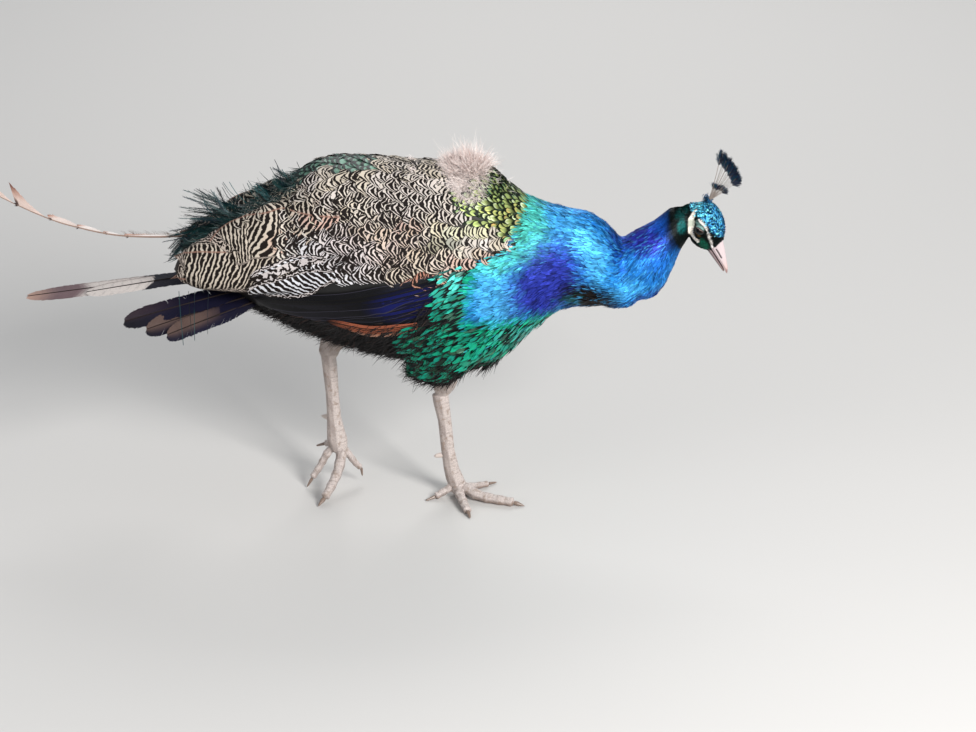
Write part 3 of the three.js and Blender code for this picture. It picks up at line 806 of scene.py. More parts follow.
def eyelid(side_sign):
    outward = unit(np.array([0.10, side_sign, 0.06]))
    along = unit(np.array([math.cos(SLIT_TILT), -0.1 * side_sign, math.sin(SLIT_TILT)]))
    along = unit(along - outward * (along @ outward))
    over = np.cross(outward, along) * (1 if side_sign < 0 else -1)
    angle = np.arange(LID_TURNS) * 2 * math.pi / LID_TURNS
    rise = np.where(np.sin(angle) > 0, 13, 31)
    opening = np.radians(60 - (60 - rise) * np.abs(np.sin(angle)) ** 0.62)
    points = []
    for ring in range(LID_RINGS):
        share = ring / (LID_RINGS - 1)
        spread = opening + (math.radians(88) - opening) * share**1.3
        radius = LID_RADIUS - 0.7 * (1 - share) ** 6
        flat = np.cos(angle)[:, None] * along + np.sin(angle)[:, None] * over
        ball = np.cos(spread)[:, None] * outward + np.sin(spread)[:, None] * flat
        points.append(EYE_AT * [1, side_sign, 1] + ball * radius)
    return from_head(np.concatenate(points)), ring_faces(LID_TURNS, LID_RINGS)


lids = {side: eyelid(sign) for side, sign in SIDES.items()}


def from_eye(points):
    """Places in the head's frame, from the middle of the eye on their own side."""
    local = to_head(points)
    return local - EYE_AT * np.sign(local[:, 1:2]) ** [0, 1, 0]


def lid_tint(points):
    """Pale green behind and above the eye, a light margin on the upper lid, sooty elsewhere."""
    forward, _, upward = from_eye(points).T
    over_slit = upward - 0.32 * forward
    above = soft_step(0.3, 1.6, over_slit) * soft_step(4.5, 1.0, forward)
    ring = np.arange(len(points)) // LID_TURNS
    tint = blend(all_over(points, "throat"), "lid", 0.9 * above)
    tint = blend(tint, PAINT["soot"] * 0.5, (ring >= 2) & (ring < 4) & (over_slit > 0))
    margin = (ring < 2) * soft_step(0.2, 0.8, over_slit) * soft_step(5.5, 3.5, forward)
    return blend(tint, "#c9a8a0", 0.85 * margin)


# %% [markdown]
# The skin's own finish is plain and matt, as it is seen only between the feathers and on the bare face.


# %% Skin material and piece
def bare_skin():
    material, tree = new_material("bird skin, matt")
    tint = stored(tree, "tint")
    place = add_node(tree, "ShaderNodeTexCoord").outputs["Object"]
    pores = add_node(tree, "ShaderNodeTexNoise", {"Vector": place, "Scale": 900.0, "Detail": 2.0})
    surface(tree, tint, 0.6, bump=pores.outputs[0], depth=0.3)
    return material


# Painted shade: off the face the skin is darkened to under half its colour, for the shade between the
# feathers.
skin_tint_with_painted_shade = plumage(skin_points) * (0.45 + 0.55 * soft_step(245, 262, skin_points[:, :1]))
shell_points, shell_faces, shell_tints = [skin_points], [skin_faces], [skin_tint_with_painted_shade]
for lid_points, lid_faces in lids.values():
    shell_faces.append(lid_faces + sum(map(len, shell_points)))
    shell_points.append(lid_points)
    shell_tints.append(lid_tint(lid_points))
add_piece(
    "skin", np.concatenate(shell_points), np.concatenate(shell_faces), bare_skin(), "blue_feathers",
    BODY_SOLIDS + ["head"], tint=np.concatenate(shell_tints),
)

# %% [markdown]
# ## Laying feathers on the skin
# A search tree answers two questions: which skin point is nearest, and where does a ray meet the skin.
# A feather starts at its root and is walked over the skin in small steps, so that it bends with the body.

# %% Search the skin
skin_tree = BVHTree.FromPolygons(skin_points.tolist(), skin_faces.tolist())


def nearest_on_skin(points):
    places = np.empty_like(points)
    normals = np.empty_like(points)
    for i, point in enumerate(points.tolist()):
        place, _, face, _ = skin_tree.find_nearest(point)
        places[i] = place
        normals[i] = skin_normals[skin_faces[face]].mean(axis=0)
    return places, unit(normals)


def meet_skin(starts, ways):
    """Where rays first meet the skin; rays that miss are dropped. Also says which ones hit."""
    hits, normals, met = [], [], []
    for i, (start, way) in enumerate(zip(np.asarray(starts).tolist(), np.asarray(ways).tolist())):
        place, _, face, _ = skin_tree.ray_cast(start, way)
        if place is not None:
            hits.append(place)
            normals.append(skin_normals[skin_faces[face]].mean(axis=0))
            met.append(i)
    return np.array(hits), unit(np.array(normals)), np.array(met, int)


# %% [markdown]
# The spine runs through the body and neck. It tells each feather which way the tail is, and how far along
# and round the body it sits, which also gives it a place of its own on the baked map.

# %% The spine
SPINE = along_line(
    [
        (-345, 0, 312), (-250, 0, 322), (-165, 0, 322), (-50, 0, 303),
        (18, 0, 296), (80, 0, 299), (124, 0, 305), (152, 0, 301),
        (175, 0, 290), (192, 0, 287), (206, 0, 297), (220, 0, 313),
        (239, 0, 335), (253, 0, 347), (268, 0, 354), (300, 0, 352),
    ],
    260,
)
SPINE_WAY = unit(np.gradient(SPINE, axis=0))


def tailward(points):
    """The way to the tail along the nearest stretch of spine, eased over the fold of the neck."""
    gaps = np.linalg.norm(points[:, None, :] - SPINE[None], axis=2)
    weight = np.exp(-(gaps - gaps.min(axis=1, keepdims=True)) / 5)
    return -unit((weight[..., None] * SPINE_WAY[None]).sum(axis=1))


TUFT_PATCH = 0.003  # the side of each small feather's patch on the map


def chart_place(points):
    """Where each root sits on an unwrapping of the body: along the spine and round it."""
    gaps = np.linalg.norm(points[:, None, :] - SPINE[None], axis=2)
    nearest = gaps.argmin(axis=1)
    off = points - SPINE[nearest]
    above = np.cross(SPINE_WAY[nearest], [0, 1, 0])
    angle = np.arctan2(off[:, 1], (off * above).sum(axis=1))
    return np.column_stack([nearest / (len(SPINE) - 1), angle / (2 * math.pi) + 0.5]) * 0.98 + 0.01


def smoothed_on_skin(ways, normals):
    return unit(ways - normals * (ways * normals).sum(axis=1, keepdims=True))


def scatter(zone, spacing):
    """Roots spread evenly, about spacing apart, over the skin where zone is above a random number."""
    corners = skin_points[skin_faces]
    centres = corners.mean(axis=1)
    wanted = zone(centres) > 0.02
    corners, faces = corners[wanted], skin_faces[wanted]
    diagonals = corners[:, 2] - corners[:, 0], corners[:, 3] - corners[:, 1]
    sizes = np.linalg.norm(np.cross(*diagonals), axis=1)
    count = int(7 * sizes.sum() / 2 / spacing**2)
    chosen = rng.choice(len(faces), count, p=sizes / sizes.sum())
    a, b = rng.random((2, count, 1))
    quad = corners[chosen]
    one_side, other_side = quad[:, 0] * (1 - a) + quad[:, 1] * a, quad[:, 3] * (1 - a) + quad[:, 2] * a
    points = one_side * (1 - b) + other_side * b
    points = points[zone(points) > rng.random(count)]
    cell = np.floor(points / spacing).astype(np.int64) + 4096  # one root is kept in each small cube
    key = (cell[:, 0] * 8192 + cell[:, 1]) * 8192 + cell[:, 2]
    _, first = np.unique(key, return_index=True)
    return nearest_on_skin(points[first])


# %% [markdown]
# One vane is a small grid: rows along the shaft, columns across it. Its root is narrow, its tip is rounded
# and a little ragged, and it rises off the skin towards the tip so that it overlaps the feather behind it.


# %% Lay vanes
def walk_over_skin(roots, normals, ways, lengths, rows):
    """Shaft points in even steps over the skin, the skin's normals there and the way ahead."""
    centre, upright, ahead = [roots], [normals], [ways]
    step = lengths[:, None] / (rows - 1)
    for _ in range(rows - 1):
        place, normal = nearest_on_skin(centre[-1] + ahead[-1] * step)
        centre.append(place)
        upright.append(normal)
        ahead.append(smoothed_on_skin(ahead[-1], normal))
    return (np.stack(part, axis=1) for part in (centre, upright, ahead))


def lay_vanes(
    name, roots, normals, ways, lengths, widths, rise, tint_at, material, slot, rows=4, columns=5,
    rounding=0.35, ragged=0.12, bow=0.12, hug=False, brightness=0.12, narrow=0.35, patches=None, **numbers,
):
    """One vane on each root. rise is its lift at the tip, bow its arch, and hug keeps it on the skin.
    numbers are further values to keep, one for each feather.
    """
    count = len(roots)
    ways = smoothed_on_skin(ways, normals)
    centre, upright, ahead = walk_over_skin(roots, normals, ways, lengths, rows)
    side = unit(np.cross(upright, ahead))
    t = np.linspace(0, 1, rows)[None, :, None]
    u = np.linspace(-1, 1, columns)[None, None]
    long, wide = lengths[:, None, None], widths[:, None, None]
    outline = narrow + (1 - narrow) * soft_step(0, 0.55, t)
    across = u * outline * wide / 2
    notch = 1 + ragged * rng.standard_normal((count, 1, columns))
    back = rounding * u**2 * t**2 * wide * notch - (notch - 1) * t**3 * long * 0.5
    points = centre[:, :, None] + side[:, :, None] * across[..., None] - ahead[:, :, None] * back[..., None]
    lifted = 0.15 + rise[:, None, None] * t**1.2 - bow * u**2 * wide * outline * (not hug)
    lifted = lifted + 0.08 * rng.standard_normal((count, 1, 1))
    if hug:
        places, up = nearest_on_skin(points.reshape(-1, 3))
        lifted = lifted + 0.35 * (1 - u**2)
        points = places.reshape(points.shape) + up.reshape(points.shape) * lifted[..., None]
    else:
        points = points + upright[:, :, None] * lifted[..., None]
    seen = centre[:, int(rows * 0.7)]
    tint = tint_at(seen) * (1 + brightness * rng.standard_normal((count, 1)))
    number = rng.random(count)[:, None, None]
    share = stacked(t, u, number)
    size, spot = (TUFT_PATCH, chart_place(roots)) if patches is None else patches
    patch = spot[:, None, None] + (share[..., :2] * [1, 0.5] - [0.5, 0]) * size
    of_one = rows * columns
    add_piece(
        name, points.reshape(-1, 3), grid_faces(count, rows, columns), material, slot,
        tint=np.repeat(tint, of_one, axis=0), vane=stacked(t * long, across, number), share=share,
        patch=patch.reshape(-1, 2), **{key: np.repeat(value, of_one) for key, value in numbers.items()},
    )


def about(value, count, spread=0.12):
    """count numbers near value, each a little different."""
    return value * (1 + spread * rng.uniform(-1, 1, count))


def turned(ways, normals, turn):
    return unit(ways * np.cos(turn) + np.cross(normals, ways) * np.sin(turn))


def stray(ways, normals, angle):
    """The same directions, each turned a little about the skin's normal."""
    return turned(ways, normals, np.radians(angle) * rng.standard_normal((len(ways), 1)))


def ripple(points, size):
    """A smooth value from about -1 to 1 that changes over about size millimetres."""
    x, y, z = (points / size).T
    value = np.sin(x * 2.1 + np.sin(z * 1.7) * 1.5) + np.sin(z * 2.6 - x * 1.3 + 1.9 * np.sin(y + x))
    return (value + np.sin(y * 2.3 + z * 0.9 + 4)) / 2.2


# %% [markdown]
# ## Neck and head
# The neck is covered by narrow feathers, so fine that they look like combed hair. They are made in two
# pieces, for the base of the neck with the upper breast and for its raised front.

# %% Neck feathers
def beyond_head(points):
    """True off the head, whose short feathers are a piece of their own."""
    local = to_head(points)
    return (local[:, 0] < -24) | (np.linalg.norm(local, axis=1) > 46)


def satin_zone(points):
    feathered = soft_step(8, 26, points[:, 0]) * (1 - mantle_zone(points)) * (1 - barred_zone(points))
    return feathered * beyond_head(points) * (points[:, 2] > 196)


NECK_FRONT_FROM = 0.775  # as a share of the spine's length


def on_neck_front(points):
    gaps = np.linalg.norm(points[:, None, :] - SPINE[None], axis=2)
    return gaps.argmin(axis=1) > len(SPINE) * NECK_FRONT_FROM


def neck_coat(name, zone, spacing, length, width, brightness=0.17):
    """Hair-fine feathers in loose locks: neighbours lean together, and the locks are painted lighter and
    darker as painted sheen, with painted shade in the partings.
    """
    roots, normals = scatter(zone, spacing)
    count = len(roots)
    swirl = np.radians(17) * ripple(roots, 13)[:, None]
    ways = stray(turned(smoothed_on_skin(tailward(roots), normals), normals, swirl), normals, 6)
    near_head = soft_step(62, 42, np.linalg.norm(roots - HEAD_AT, axis=1))
    lengths = about(length, count, 0.35) * (1 - 0.6 * near_head)
    rise = about(1.2, count, 0.6) * (1 - 0.7 * near_head) * (1 + 0.5 * ripple(roots + 40, 9))

    def streaked(points):
        # Painted sheen and shade: the locks are painted lighter and darker, and a few feathers light azure as
        # painted highlights.
        lock = 1 + 0.28 * ripple(points, 6.0) + 0.28 * ripple(points + 70, 2.8)
        points = points + 3.2 * rng.standard_normal(points.shape) * (1 - near_head)[:, None]
        painted_glints = (rng.random(count) > 0.84) * 0.42 * (1 - oval(points, (95, 295), (36, 47), -15))
        return blend(plumage(points) * lock[:, None], "light azure", painted_glints * (1 - near_head))

    lay_vanes(
        name, roots, normals, ways, lengths, about(width, count, 0.35), rise, streaked, blue_sheen,
        "blue_feathers", rows=5, columns=3, rounding=1.6, ragged=0.1, brightness=brightness, bow=0.22,
        narrow=0.6,
    )


neck_coat(
    "neck_base_feathers",
    lambda p: satin_zone(p) * (1 - on_neck_front(p)) * (1 - 0.75 * emerald_zone(p)),
    2.45, 15, 2.1,
)
neck_coat("neck_front_feathers", lambda p: satin_zone(p) * on_neck_front(p), 1.6, 15, 1.5, 0.2)

# %% [markdown]
# The crown carries tiny curled feathers, dark blue with painted cyan highlights on a random share, like
# beads. Those of the cheeks and throat are shorter still and nearly black, and the white face is left bare.


# %% Head feathers
def head_zone(points):
    local = to_head(points)
    crescent, stripe = face_marks(points)
    off_eye = np.linalg.norm(from_eye(points), axis=1)
    clear = soft_step(7.2, 8.0, off_eye) * (crescent < 0.3) * (stripe < 0.3)
    return clear * (local[:, 0] >= -33) * (local[:, 0] < 35) * (np.linalg.norm(local, axis=1) < 54)


def crown_tint(points):
    """Painted highlights: a random share of the beads is painted bright cyan, and the rest darker."""
    base = plumage(points)
    bright = rng.random(len(points))
    lit = blend(base, "#7fe0ff", 0.75 * soft_step(0.5, 0.95, bright))
    return lit * (0.06 + 1.35 * soft_step(0.3, 0.9, bright))[:, None]


def on_crown(points):
    return head_zone(points) * over_crown(to_head(points))


roots, normals = scatter(on_crown, 1.3)
count = len(roots)
lay_vanes(
    "crown_feathers", roots, normals, stray(tailward(roots), normals, 35), about(2.6, count, 0.3),
    about(1.4, count, 0.3), about(0.9, count, 0.5), crown_tint, blue_sheen, "blue_feathers",
    rows=4, columns=5, rounding=0.55, bow=0.3, brightness=0.1,
)
roots, normals = scatter(lambda p: head_zone(p) * (1 - on_crown(p)), 0.95)
count = len(roots)
lay_vanes(
    "face_feathers", roots, normals, stray(tailward(roots), normals, 14), about(3.4, count, 0.35),
    about(0.75, count, 0.3), about(0.55, count, 0.5), plumage, blue_sheen, "blue_feathers",
    rows=3, columns=3, rounding=1.2, brightness=0.3, narrow=0.6,
)

# %% [markdown]
# ## Breast and mantle
# Larger, rounder feathers lie in rows here, like roof tiles. A row is a ring round the spine: rays shot
# inwards find the skin, and roots are set at even steps along the ring, every second row shifted by half.


# %% Rows of feathers
RAYS = 240  # shot inwards for each row
RAY_START = 260  # millimetres from the spine


def row_of_roots(station, spacing, shifted):
    """Roots round the body at one x, at even steps."""
    angle = np.linspace(0, 2 * math.pi, RAYS + 1)[:-1]
    way = np.column_stack([np.zeros(RAYS), np.cos(angle), np.sin(angle)])
    middle = np.array([station, 0, np.interp(station, SPINE[:, 0], SPINE[:, 2])])
    places, _, _ = meet_skin(middle + way * RAY_START, -unit(way))
    if len(places) < 3:
        return np.empty((0, 3))
    steps = np.linalg.norm(np.diff(places, axis=0, append=places[:1]), axis=1)
    travelled = np.concatenate([[0], np.cumsum(np.minimum(steps, 12))])
    number = max(int(travelled[-1] / spacing), 1)
    wanted = (np.arange(number) + 0.5 * shifted) / number * travelled[-1]
    picked = np.clip(np.searchsorted(travelled, wanted), 0, len(places) - 1)
    return places[picked]


def rows_of_roots(start, end, step, spacing, zone, jitter=0.08):
    stations = enumerate(np.arange(start, end, step))
    roots = np.concatenate([row_of_roots(station, spacing, number % 2) for number, station in stations])
    roots = roots[zone(roots) > 0.5]
    roots = roots + rng.standard_normal(roots.shape) * jitter * spacing
    return nearest_on_skin(roots)


def breast_zone(points):
    x, z = points[:, 0], points[:, 2]
    low = (z < 342 - 0.2 * np.maximum(x, 0)) & (x > -55) & (x < 122)
    behind_wing = (x < -14) & (z > 262)
    return emerald_zone(points) * low * ~behind_wing * (1 - barred_zone(points - [0, 0, 5])) * (z > 176)


def breast_tint(points):
    """Each tip glows or stays sooty, more of them sooty low down and behind the shoulder."""
    x, z = points[:, 0], points[:, 2]
    tint = blend(all_over(points, "emerald"), "turquoise", soft_step(-20, 50, x + z - 270))
    tint = blend(tint, "teal", 0.6 * rng.random(len(points)))
    tint = blend(tint, "#4a4436", 0.7 * (rng.random(len(points)) > 0.9))
    dull = 0.16 + 0.14 * soft_step(215, 182, z) + 0.1 * soft_step(0, -30, x)
    glow = soft_step(dull - 0.2, dull + 0.35, rng.random(len(points)) + 0.15 * ripple(points, 12))
    return tint * (0.03 + 0.16 * soft_step(236, 276, z) + glow)[:, None]


roots, normals = rows_of_roots(-52, 122, 6.2, 5.2, breast_zone, jitter=0.25)
count = len(roots)
down_back = unit(tailward(roots) + np.array([0, 0, -0.55]))
soft_edge = soft_step(215, 250, roots[:, 2])
lay_vanes(
    "breast_feathers", roots, normals, stray(down_back, normals, 9), about(26, count, 0.2),
    about(6.4, count, 0.25) * (1 - 0.4 * soft_edge), about(3.0, count, 0.5), breast_tint, emerald_tip,
    "green_feathers", rows=7, columns=5, rounding=1.0, ragged=0.16, bow=0.14, brightness=0.14,
)


def mantle_tint(points):
    x, z = points[:, 0], points[:, 2]
    tint = blend(all_over(points, "leaf"), "gold", 0.7 * oval(points, (40, 374), (24, 12), -35))
    tint = blend(tint, "moss", 0.85 * soft_step(384, 394, z + 0.5 * (x - 50)))
    tint = blend(tint, "turquoise", 0.85 * soft_step(38, 60, x - 0.9 * (z - 350)))
    odd = rng.random(len(points))
    tint = blend(tint, "#b4693c", 0.6 * (odd < 0.1) * oval(points, (46, 362), (34, 22)))
    tint = blend(tint, "#3f6f58", 0.7 * ((odd > 0.42) & (odd < 0.6)) * soft_step(360, 384, z))
    return blend(tint, "#d3dfc4", 0.6 * (odd > 0.75))


roots, normals = rows_of_roots(
    -14, 106, 5.6, 6.2, lambda p: mantle_zone(p) * (downy(p) < 0.5), jitter=0.14
)
count = len(roots)
lay_vanes(
    "mantle_feathers", roots, normals, stray(tailward(roots), normals, 10), about(19, count, 0.2),
    about(7.6, count, 0.2), about(2.2, count, 0.35), mantle_tint, golden_scale, "green_feathers",
    rows=7, columns=7, rounding=0.95, ragged=0.05, bow=0.14, brightness=0.2,
)

# %% [markdown]
# ## Barred feathers of the wing
# Over the wing and shoulder the rows are wider apart and the feathers bigger. The same rows carry a patch
# of dark green scales along the lower back.

# %% Coverts and scapulars
LOBE_START = -226
TERTIAL_TOP = [[-282, 344], [-264, 361], [-241, 371], [-209, 381], [-177, 382], [-135, 383]]


def coverts_zone(points):
    x, z = points[:, 0], points[:, 2]
    free = (x > -176) | (z > height_of(TERTIAL_TOP, x) - 6)
    free = free & ((x < -80) | (z > height_of(COVERTS_EDGE, x) + 6 * soft_step(-34, -60, x)) | (x > -18))
    at_shoulder = soft_step(-44, -24, x) * soft_step(40, 18, x)
    shifted = points.copy()  # roots stay behind the front edge and reach lower at the shoulder
    shifted[:, 0] -= 3.5 * (x > 0)
    shifted[:, 2] += 6 * at_shoulder
    inside = barred_zone(shifted)
    return inside * (x > LOBE_START - 8) * (1 - back_zone(points)) * free * (downy(points) < 0.6)


def back_zone(points):
    x = points[:, 0]
    return soft_step(-182, -176, x) * soft_step(-76, -84, x) * soft_step(28, 24, np.abs(points[:, 1]))


def covert_tint(points):
    """Off-white, cream or buff by chance; colder low on the wing, greenish and rusty in places."""
    pick = rng.random(len(points))
    tint = blend(all_over(points, "cream"), "off-white", pick)
    for paint, centre, reach, strength in [
        ("cold white", (-140, 336), (52, 30), 0.9),
        ("off-white", (-60, 398), (50, 16), 0.8),
        ("leaf", (6, 368), (30, 9), 0.22),
        ("moss", (-20, 354), (26, 8), 0.5),
        ("pink buff", (20, 330), (46, 12), 0.6),
        ("pink buff", (-100, 350), (60, 26), 0.3),
        ("rufous", (-40, 313), (34, 8), 0.8),
        ("rufous", (-62, 372), (22, 6), 0.4),
    ]:
        tint = blend(tint, paint, strength * oval(points, centre, reach))
    return tint


def covert_boldness(points):
    """How much wider the dark bars are: bold behind the middle, narrow at the shoulder and on the back."""
    bold = -0.7 * soft_step(-30, 30, points[:, 0]) - 0.2 * soft_step(386, 404, points[:, 2])
    bold = bold + 0.3 * oval(points, (-24, 352), (26, 12)) + 0.4 * oval(points, (-138, 360), (22, 12))
    return bold + 0.25 * ripple(points, 20)


def wing_way(points):
    """Feathers of the wing lie backwards and, low on the side, slightly down."""
    way = np.column_stack([np.full(len(points), -1.0), np.zeros(len(points)), np.zeros(len(points))])
    way[:, 2] = -0.2 * soft_step(400, 330, points[:, 2]) + 0.35 * ripple(points, 30)
    return unit(way)


def cell_patches(count):
    """Every big feather gets a cell of its own on the baked map, so that its bars survive."""
    side = math.ceil(math.sqrt(count))
    row, column = np.divmod(np.arange(count), side)
    return 0.9 / side, (np.column_stack([column, row]) + 0.5) / side


roots, normals = rows_of_roots(LOBE_START, 66, 8.5, 13.5, coverts_zone, jitter=0.14)
count = len(roots)
small = soft_step(-50, 40, roots[:, 0])
lay_vanes(
    "wing_coverts", roots, normals, stray(wing_way(roots), normals, 9),
    about(32, count, 0.12) * (1 - 0.4 * small), about(21, count, 0.12) * (1 - 0.35 * small),
    about(2.2, count, 0.3), covert_tint, wing_bars, "barred_feathers", rows=8, columns=9,
    rounding=0.42, ragged=0.03, hug=True, brightness=0.07, patches=cell_patches(count),
    bold=covert_boldness(roots),
)

roots, normals = rows_of_roots(-184, -70, 7, 10, lambda p: back_zone(p) * (p[:, 2] > 380))
count = len(roots)
lay_vanes(
    "lower_back_feathers", roots, normals, stray(tailward(roots), normals, 5), about(19, count, 0.12),
    about(14, count, 0.12), about(2.6, count, 0.25),
    lambda p: all_over(p, "#5d7d6e"), green_scale, "green_feathers",
    rows=6, columns=7, rounding=0.5, ragged=0.04, bow=0.1, brightness=0.25,
)

# %% [markdown]
# The long tertials are placed one by one. Each is a shaft line drawn on the side view, [x, z], with how far
# its vane reaches above and below. Rays from the side carry the line to the skin.


# %% Large feathers on the wing
SIDE_START = 300.0  # rays from the side start this far out


def shaft_on_side(line, side_sign, rows):
    flat = along_line(line, rows)
    starts = np.column_stack([flat[:, 0], np.full(rows, side_sign * SIDE_START), flat[:, 1]])
    places, normals, met = meet_skin(starts, np.tile([0.0, -side_sign, 0.0], (rows, 1)))
    y = np.interp(np.arange(rows), met, places[:, 1])
    up = np.stack([np.interp(np.arange(rows), met, normals[:, k]) for k in range(3)], axis=1)
    return np.column_stack([flat[:, 0], y, flat[:, 1]]), unit(up)


def vane_outline(t, fullness=0.5, tip=0.7):
    """Half-width along a big feather: full soon after the root, rounded at the tip."""
    rise = soft_step(0, 0.3, t) * (1 - fullness) + fullness
    beyond = np.clip((t - tip) / (1 - tip), 0, 1)
    return rise * np.sqrt(np.maximum(1 - beyond**2.2, 0.0))


def walked_across(centre, upright, way, reach, steps):
    """Even steps over the skin from each shaft point out to its reach, and the normals there."""
    line, ups = [centre], [upright]
    for _ in range(steps):
        place, up = nearest_on_skin(line[-1] + way * (reach / steps)[:, None])
        way = smoothed_on_skin(way, up)
        line.append(place)
        ups.append(up)
    return np.stack(line, axis=1), np.stack(ups, axis=1)


def large_vanes(name, feathers, material, slot, tint, rows=26, half=9, tip=0.75, frayed=0.02):
    """feathers: (line, reach above, reach below, height over the skin, sharpness of the rim below)."""
    gathered = [[] for _ in range(6)]
    cell, spots = cell_patches(len(feathers) * 2)
    columns = 2 * half + 1
    t = np.linspace(0, 1, rows)[:, None]
    u = np.linspace(-1, 1, columns)
    wide = vane_outline(t, tip=tip)
    for number, (line, above, below, height, sharp) in enumerate(feathers):
        for sign in SIDES.values():
            centre, upright = shaft_on_side(line, sign, rows)
            ahead = unit(np.gradient(centre, axis=0))
            upward = unit(np.cross(upright, ahead)) * sign
            notch = 1 + frayed * np.cumsum(rng.standard_normal(rows)) * 0.4
            slanted = ahead * (0.4 * (1 - t))
            lower, upper = (
                walked_across(centre, upright, unit(slanted + way), reach * wide[:, 0] * notch, half)
                for way, reach in ((-upward, below), (upward, above))
            )
            place, up = (np.concatenate([low[:, :0:-1], high], axis=1) for low, high in zip(lower, upper))
            over = height + 0.9 * t + 0.6 * (1 - np.abs(u)) ** 2
            place = (place + up * over[..., None]).reshape(-1, 3)
            length = distance_along(centre)[-1]
            to_edge = (1 - np.abs(u)) * np.where(u > 0, above, below * sharp) * wide
            seed = rng.random()
            spot = spots[number * 2 + (sign > 0)]
            for held, value in zip(gathered, (
                place,
                tint(place, np.repeat(t, columns), number),
                stacked(t * length, u * np.where(u > 0, above, below) * wide, seed),
                stacked(t, u, seed),
                spot + (stacked(t, u / 2 + 0.5) - 0.5) * cell,
                np.minimum(to_edge, length - t * length),
            )):
                held.append(value.reshape(rows * columns, -1))
    points, tints, vane, share, patch, rim = (np.concatenate(held) for held in gathered)
    add_piece(
        name, points, grid_faces(len(feathers) * 2, rows, columns), material, slot,
        tint=tints, vane=vane, share=share, patch=patch, rim=rim.ravel(),
    )


def plain_tint(code):
    return lambda points, t, number: all_over(points, code)


def tertial_tint(points, t, number):
    tint = blend(all_over(points, "#c2b5a5"), "#c99780", 0.6 * oval(points, (-196, 352), (20, 12)))
    return blend(tint, "#c9978a", 0.6 * oval(points, (-150, 378), (34, 8)))


TERTIALS = [
    ([(-240, 300), (-290, 300), (-316, 299), (-331, 297)], 28, 26, 0.2, 0.8),
    ([(-170, 346), (-225, 341), (-275, 334), (-300, 330), (-326, 321)], 26, 62, 0.9, 1.0),
    ([(-135, 383), (-177, 382), (-209, 381), (-241, 371), (-264, 361), (-284, 342)], 36, 49, 1.7, 9.0),
]
large_vanes(
    "tertials", TERTIALS, tertial_bars, "barred_feathers", tertial_tint, rows=40, half=12, tip=0.8,
)
SMALL_TERTIALS = [
    ([(-150, 340), (-178, 336), (-205, 327), (-238, 311)], 6, 10, 2.6, 0.3),
    ([(-140, 322), (-160, 316), (-184, 307), (-208, 300), (-242, 291)], 14, 18, 3.4, 1.0),
]
large_vanes("small_tertials", SMALL_TERTIALS, white_bars, "barred_feathers", plain_tint("#d2d2d6"))

# %% [markdown]
# Under the barred feathers lie the dark flight feathers of the arm, and under those the rufous ones of the
# hand. They are long and narrow, and each lies a little under the one above it.

# %% Secondaries and primaries
SECONDARY_COUNT = 9


def secondary(number):
    share = number / (SECONDARY_COUNT - 1)
    root_z = 318 - 46 * share
    tip_x = -236 + 88 * share
    tip_z = 277 - 14 * share
    bend = ((-24 + tip_x) / 2, (root_z + tip_z) / 2 - 6)
    return [(-26 - 10 * share, root_z), bend, (tip_x, tip_z)], 8, 16, 2.2 - 1.8 * share, 1.0


def black_with_painted_sheen(points, t, number):
    # Painted sheen: a blue patch on the black, stronger on every second feather.
    blue = oval(points, (-62, 288), (36, 19), 12)
    tint = blend(all_over(points, "#050509"), "#0e1552", 0.85 * blue * (0.35 + 0.65 * (number % 2)))
    return blend(tint, "#191820", 0.5 * (number % 3 == 1) * soft_step(0.3, 0.8, t))


secondaries = [secondary(number) for number in range(SECONDARY_COUNT)]
large_vanes(
    "secondaries", secondaries, dark_flight, "dark_flight_feathers", black_with_painted_sheen, rows=24, half=5,
    frayed=0.12,
)
PRIMARY_CODES = ["#8f4f38", "#a55c42", "#c08468", "#cf9c84"]  # from the highest feather down


def rufous_tint(points, t, number):
    return blend(all_over(points, PRIMARY_CODES[number]), "#2a1714", soft_step(0.75, 1.0, t))


primaries = [
    ([(-48, 262 - 3 * i), (-100, 252 - 2.6 * i), (-152 + 8 * i, 259 - 3 * i)], 5, 6, 1.6 - 0.4 * i, 1.0)
    for i in range(len(PRIMARY_CODES))
]
large_vanes(
    "primaries", primaries, rufous_flight, "rufous_flight_feathers", rufous_tint, rows=18, half=4, frayed=0,
)

# %% [markdown]
# ## Down and fluff
# Loose feathers have no hooks to hold their barbs together, so they read as fine strands. Each strand is a
# thin tapered ribbon, turned at random, that leaves the skin at an angle and droops.


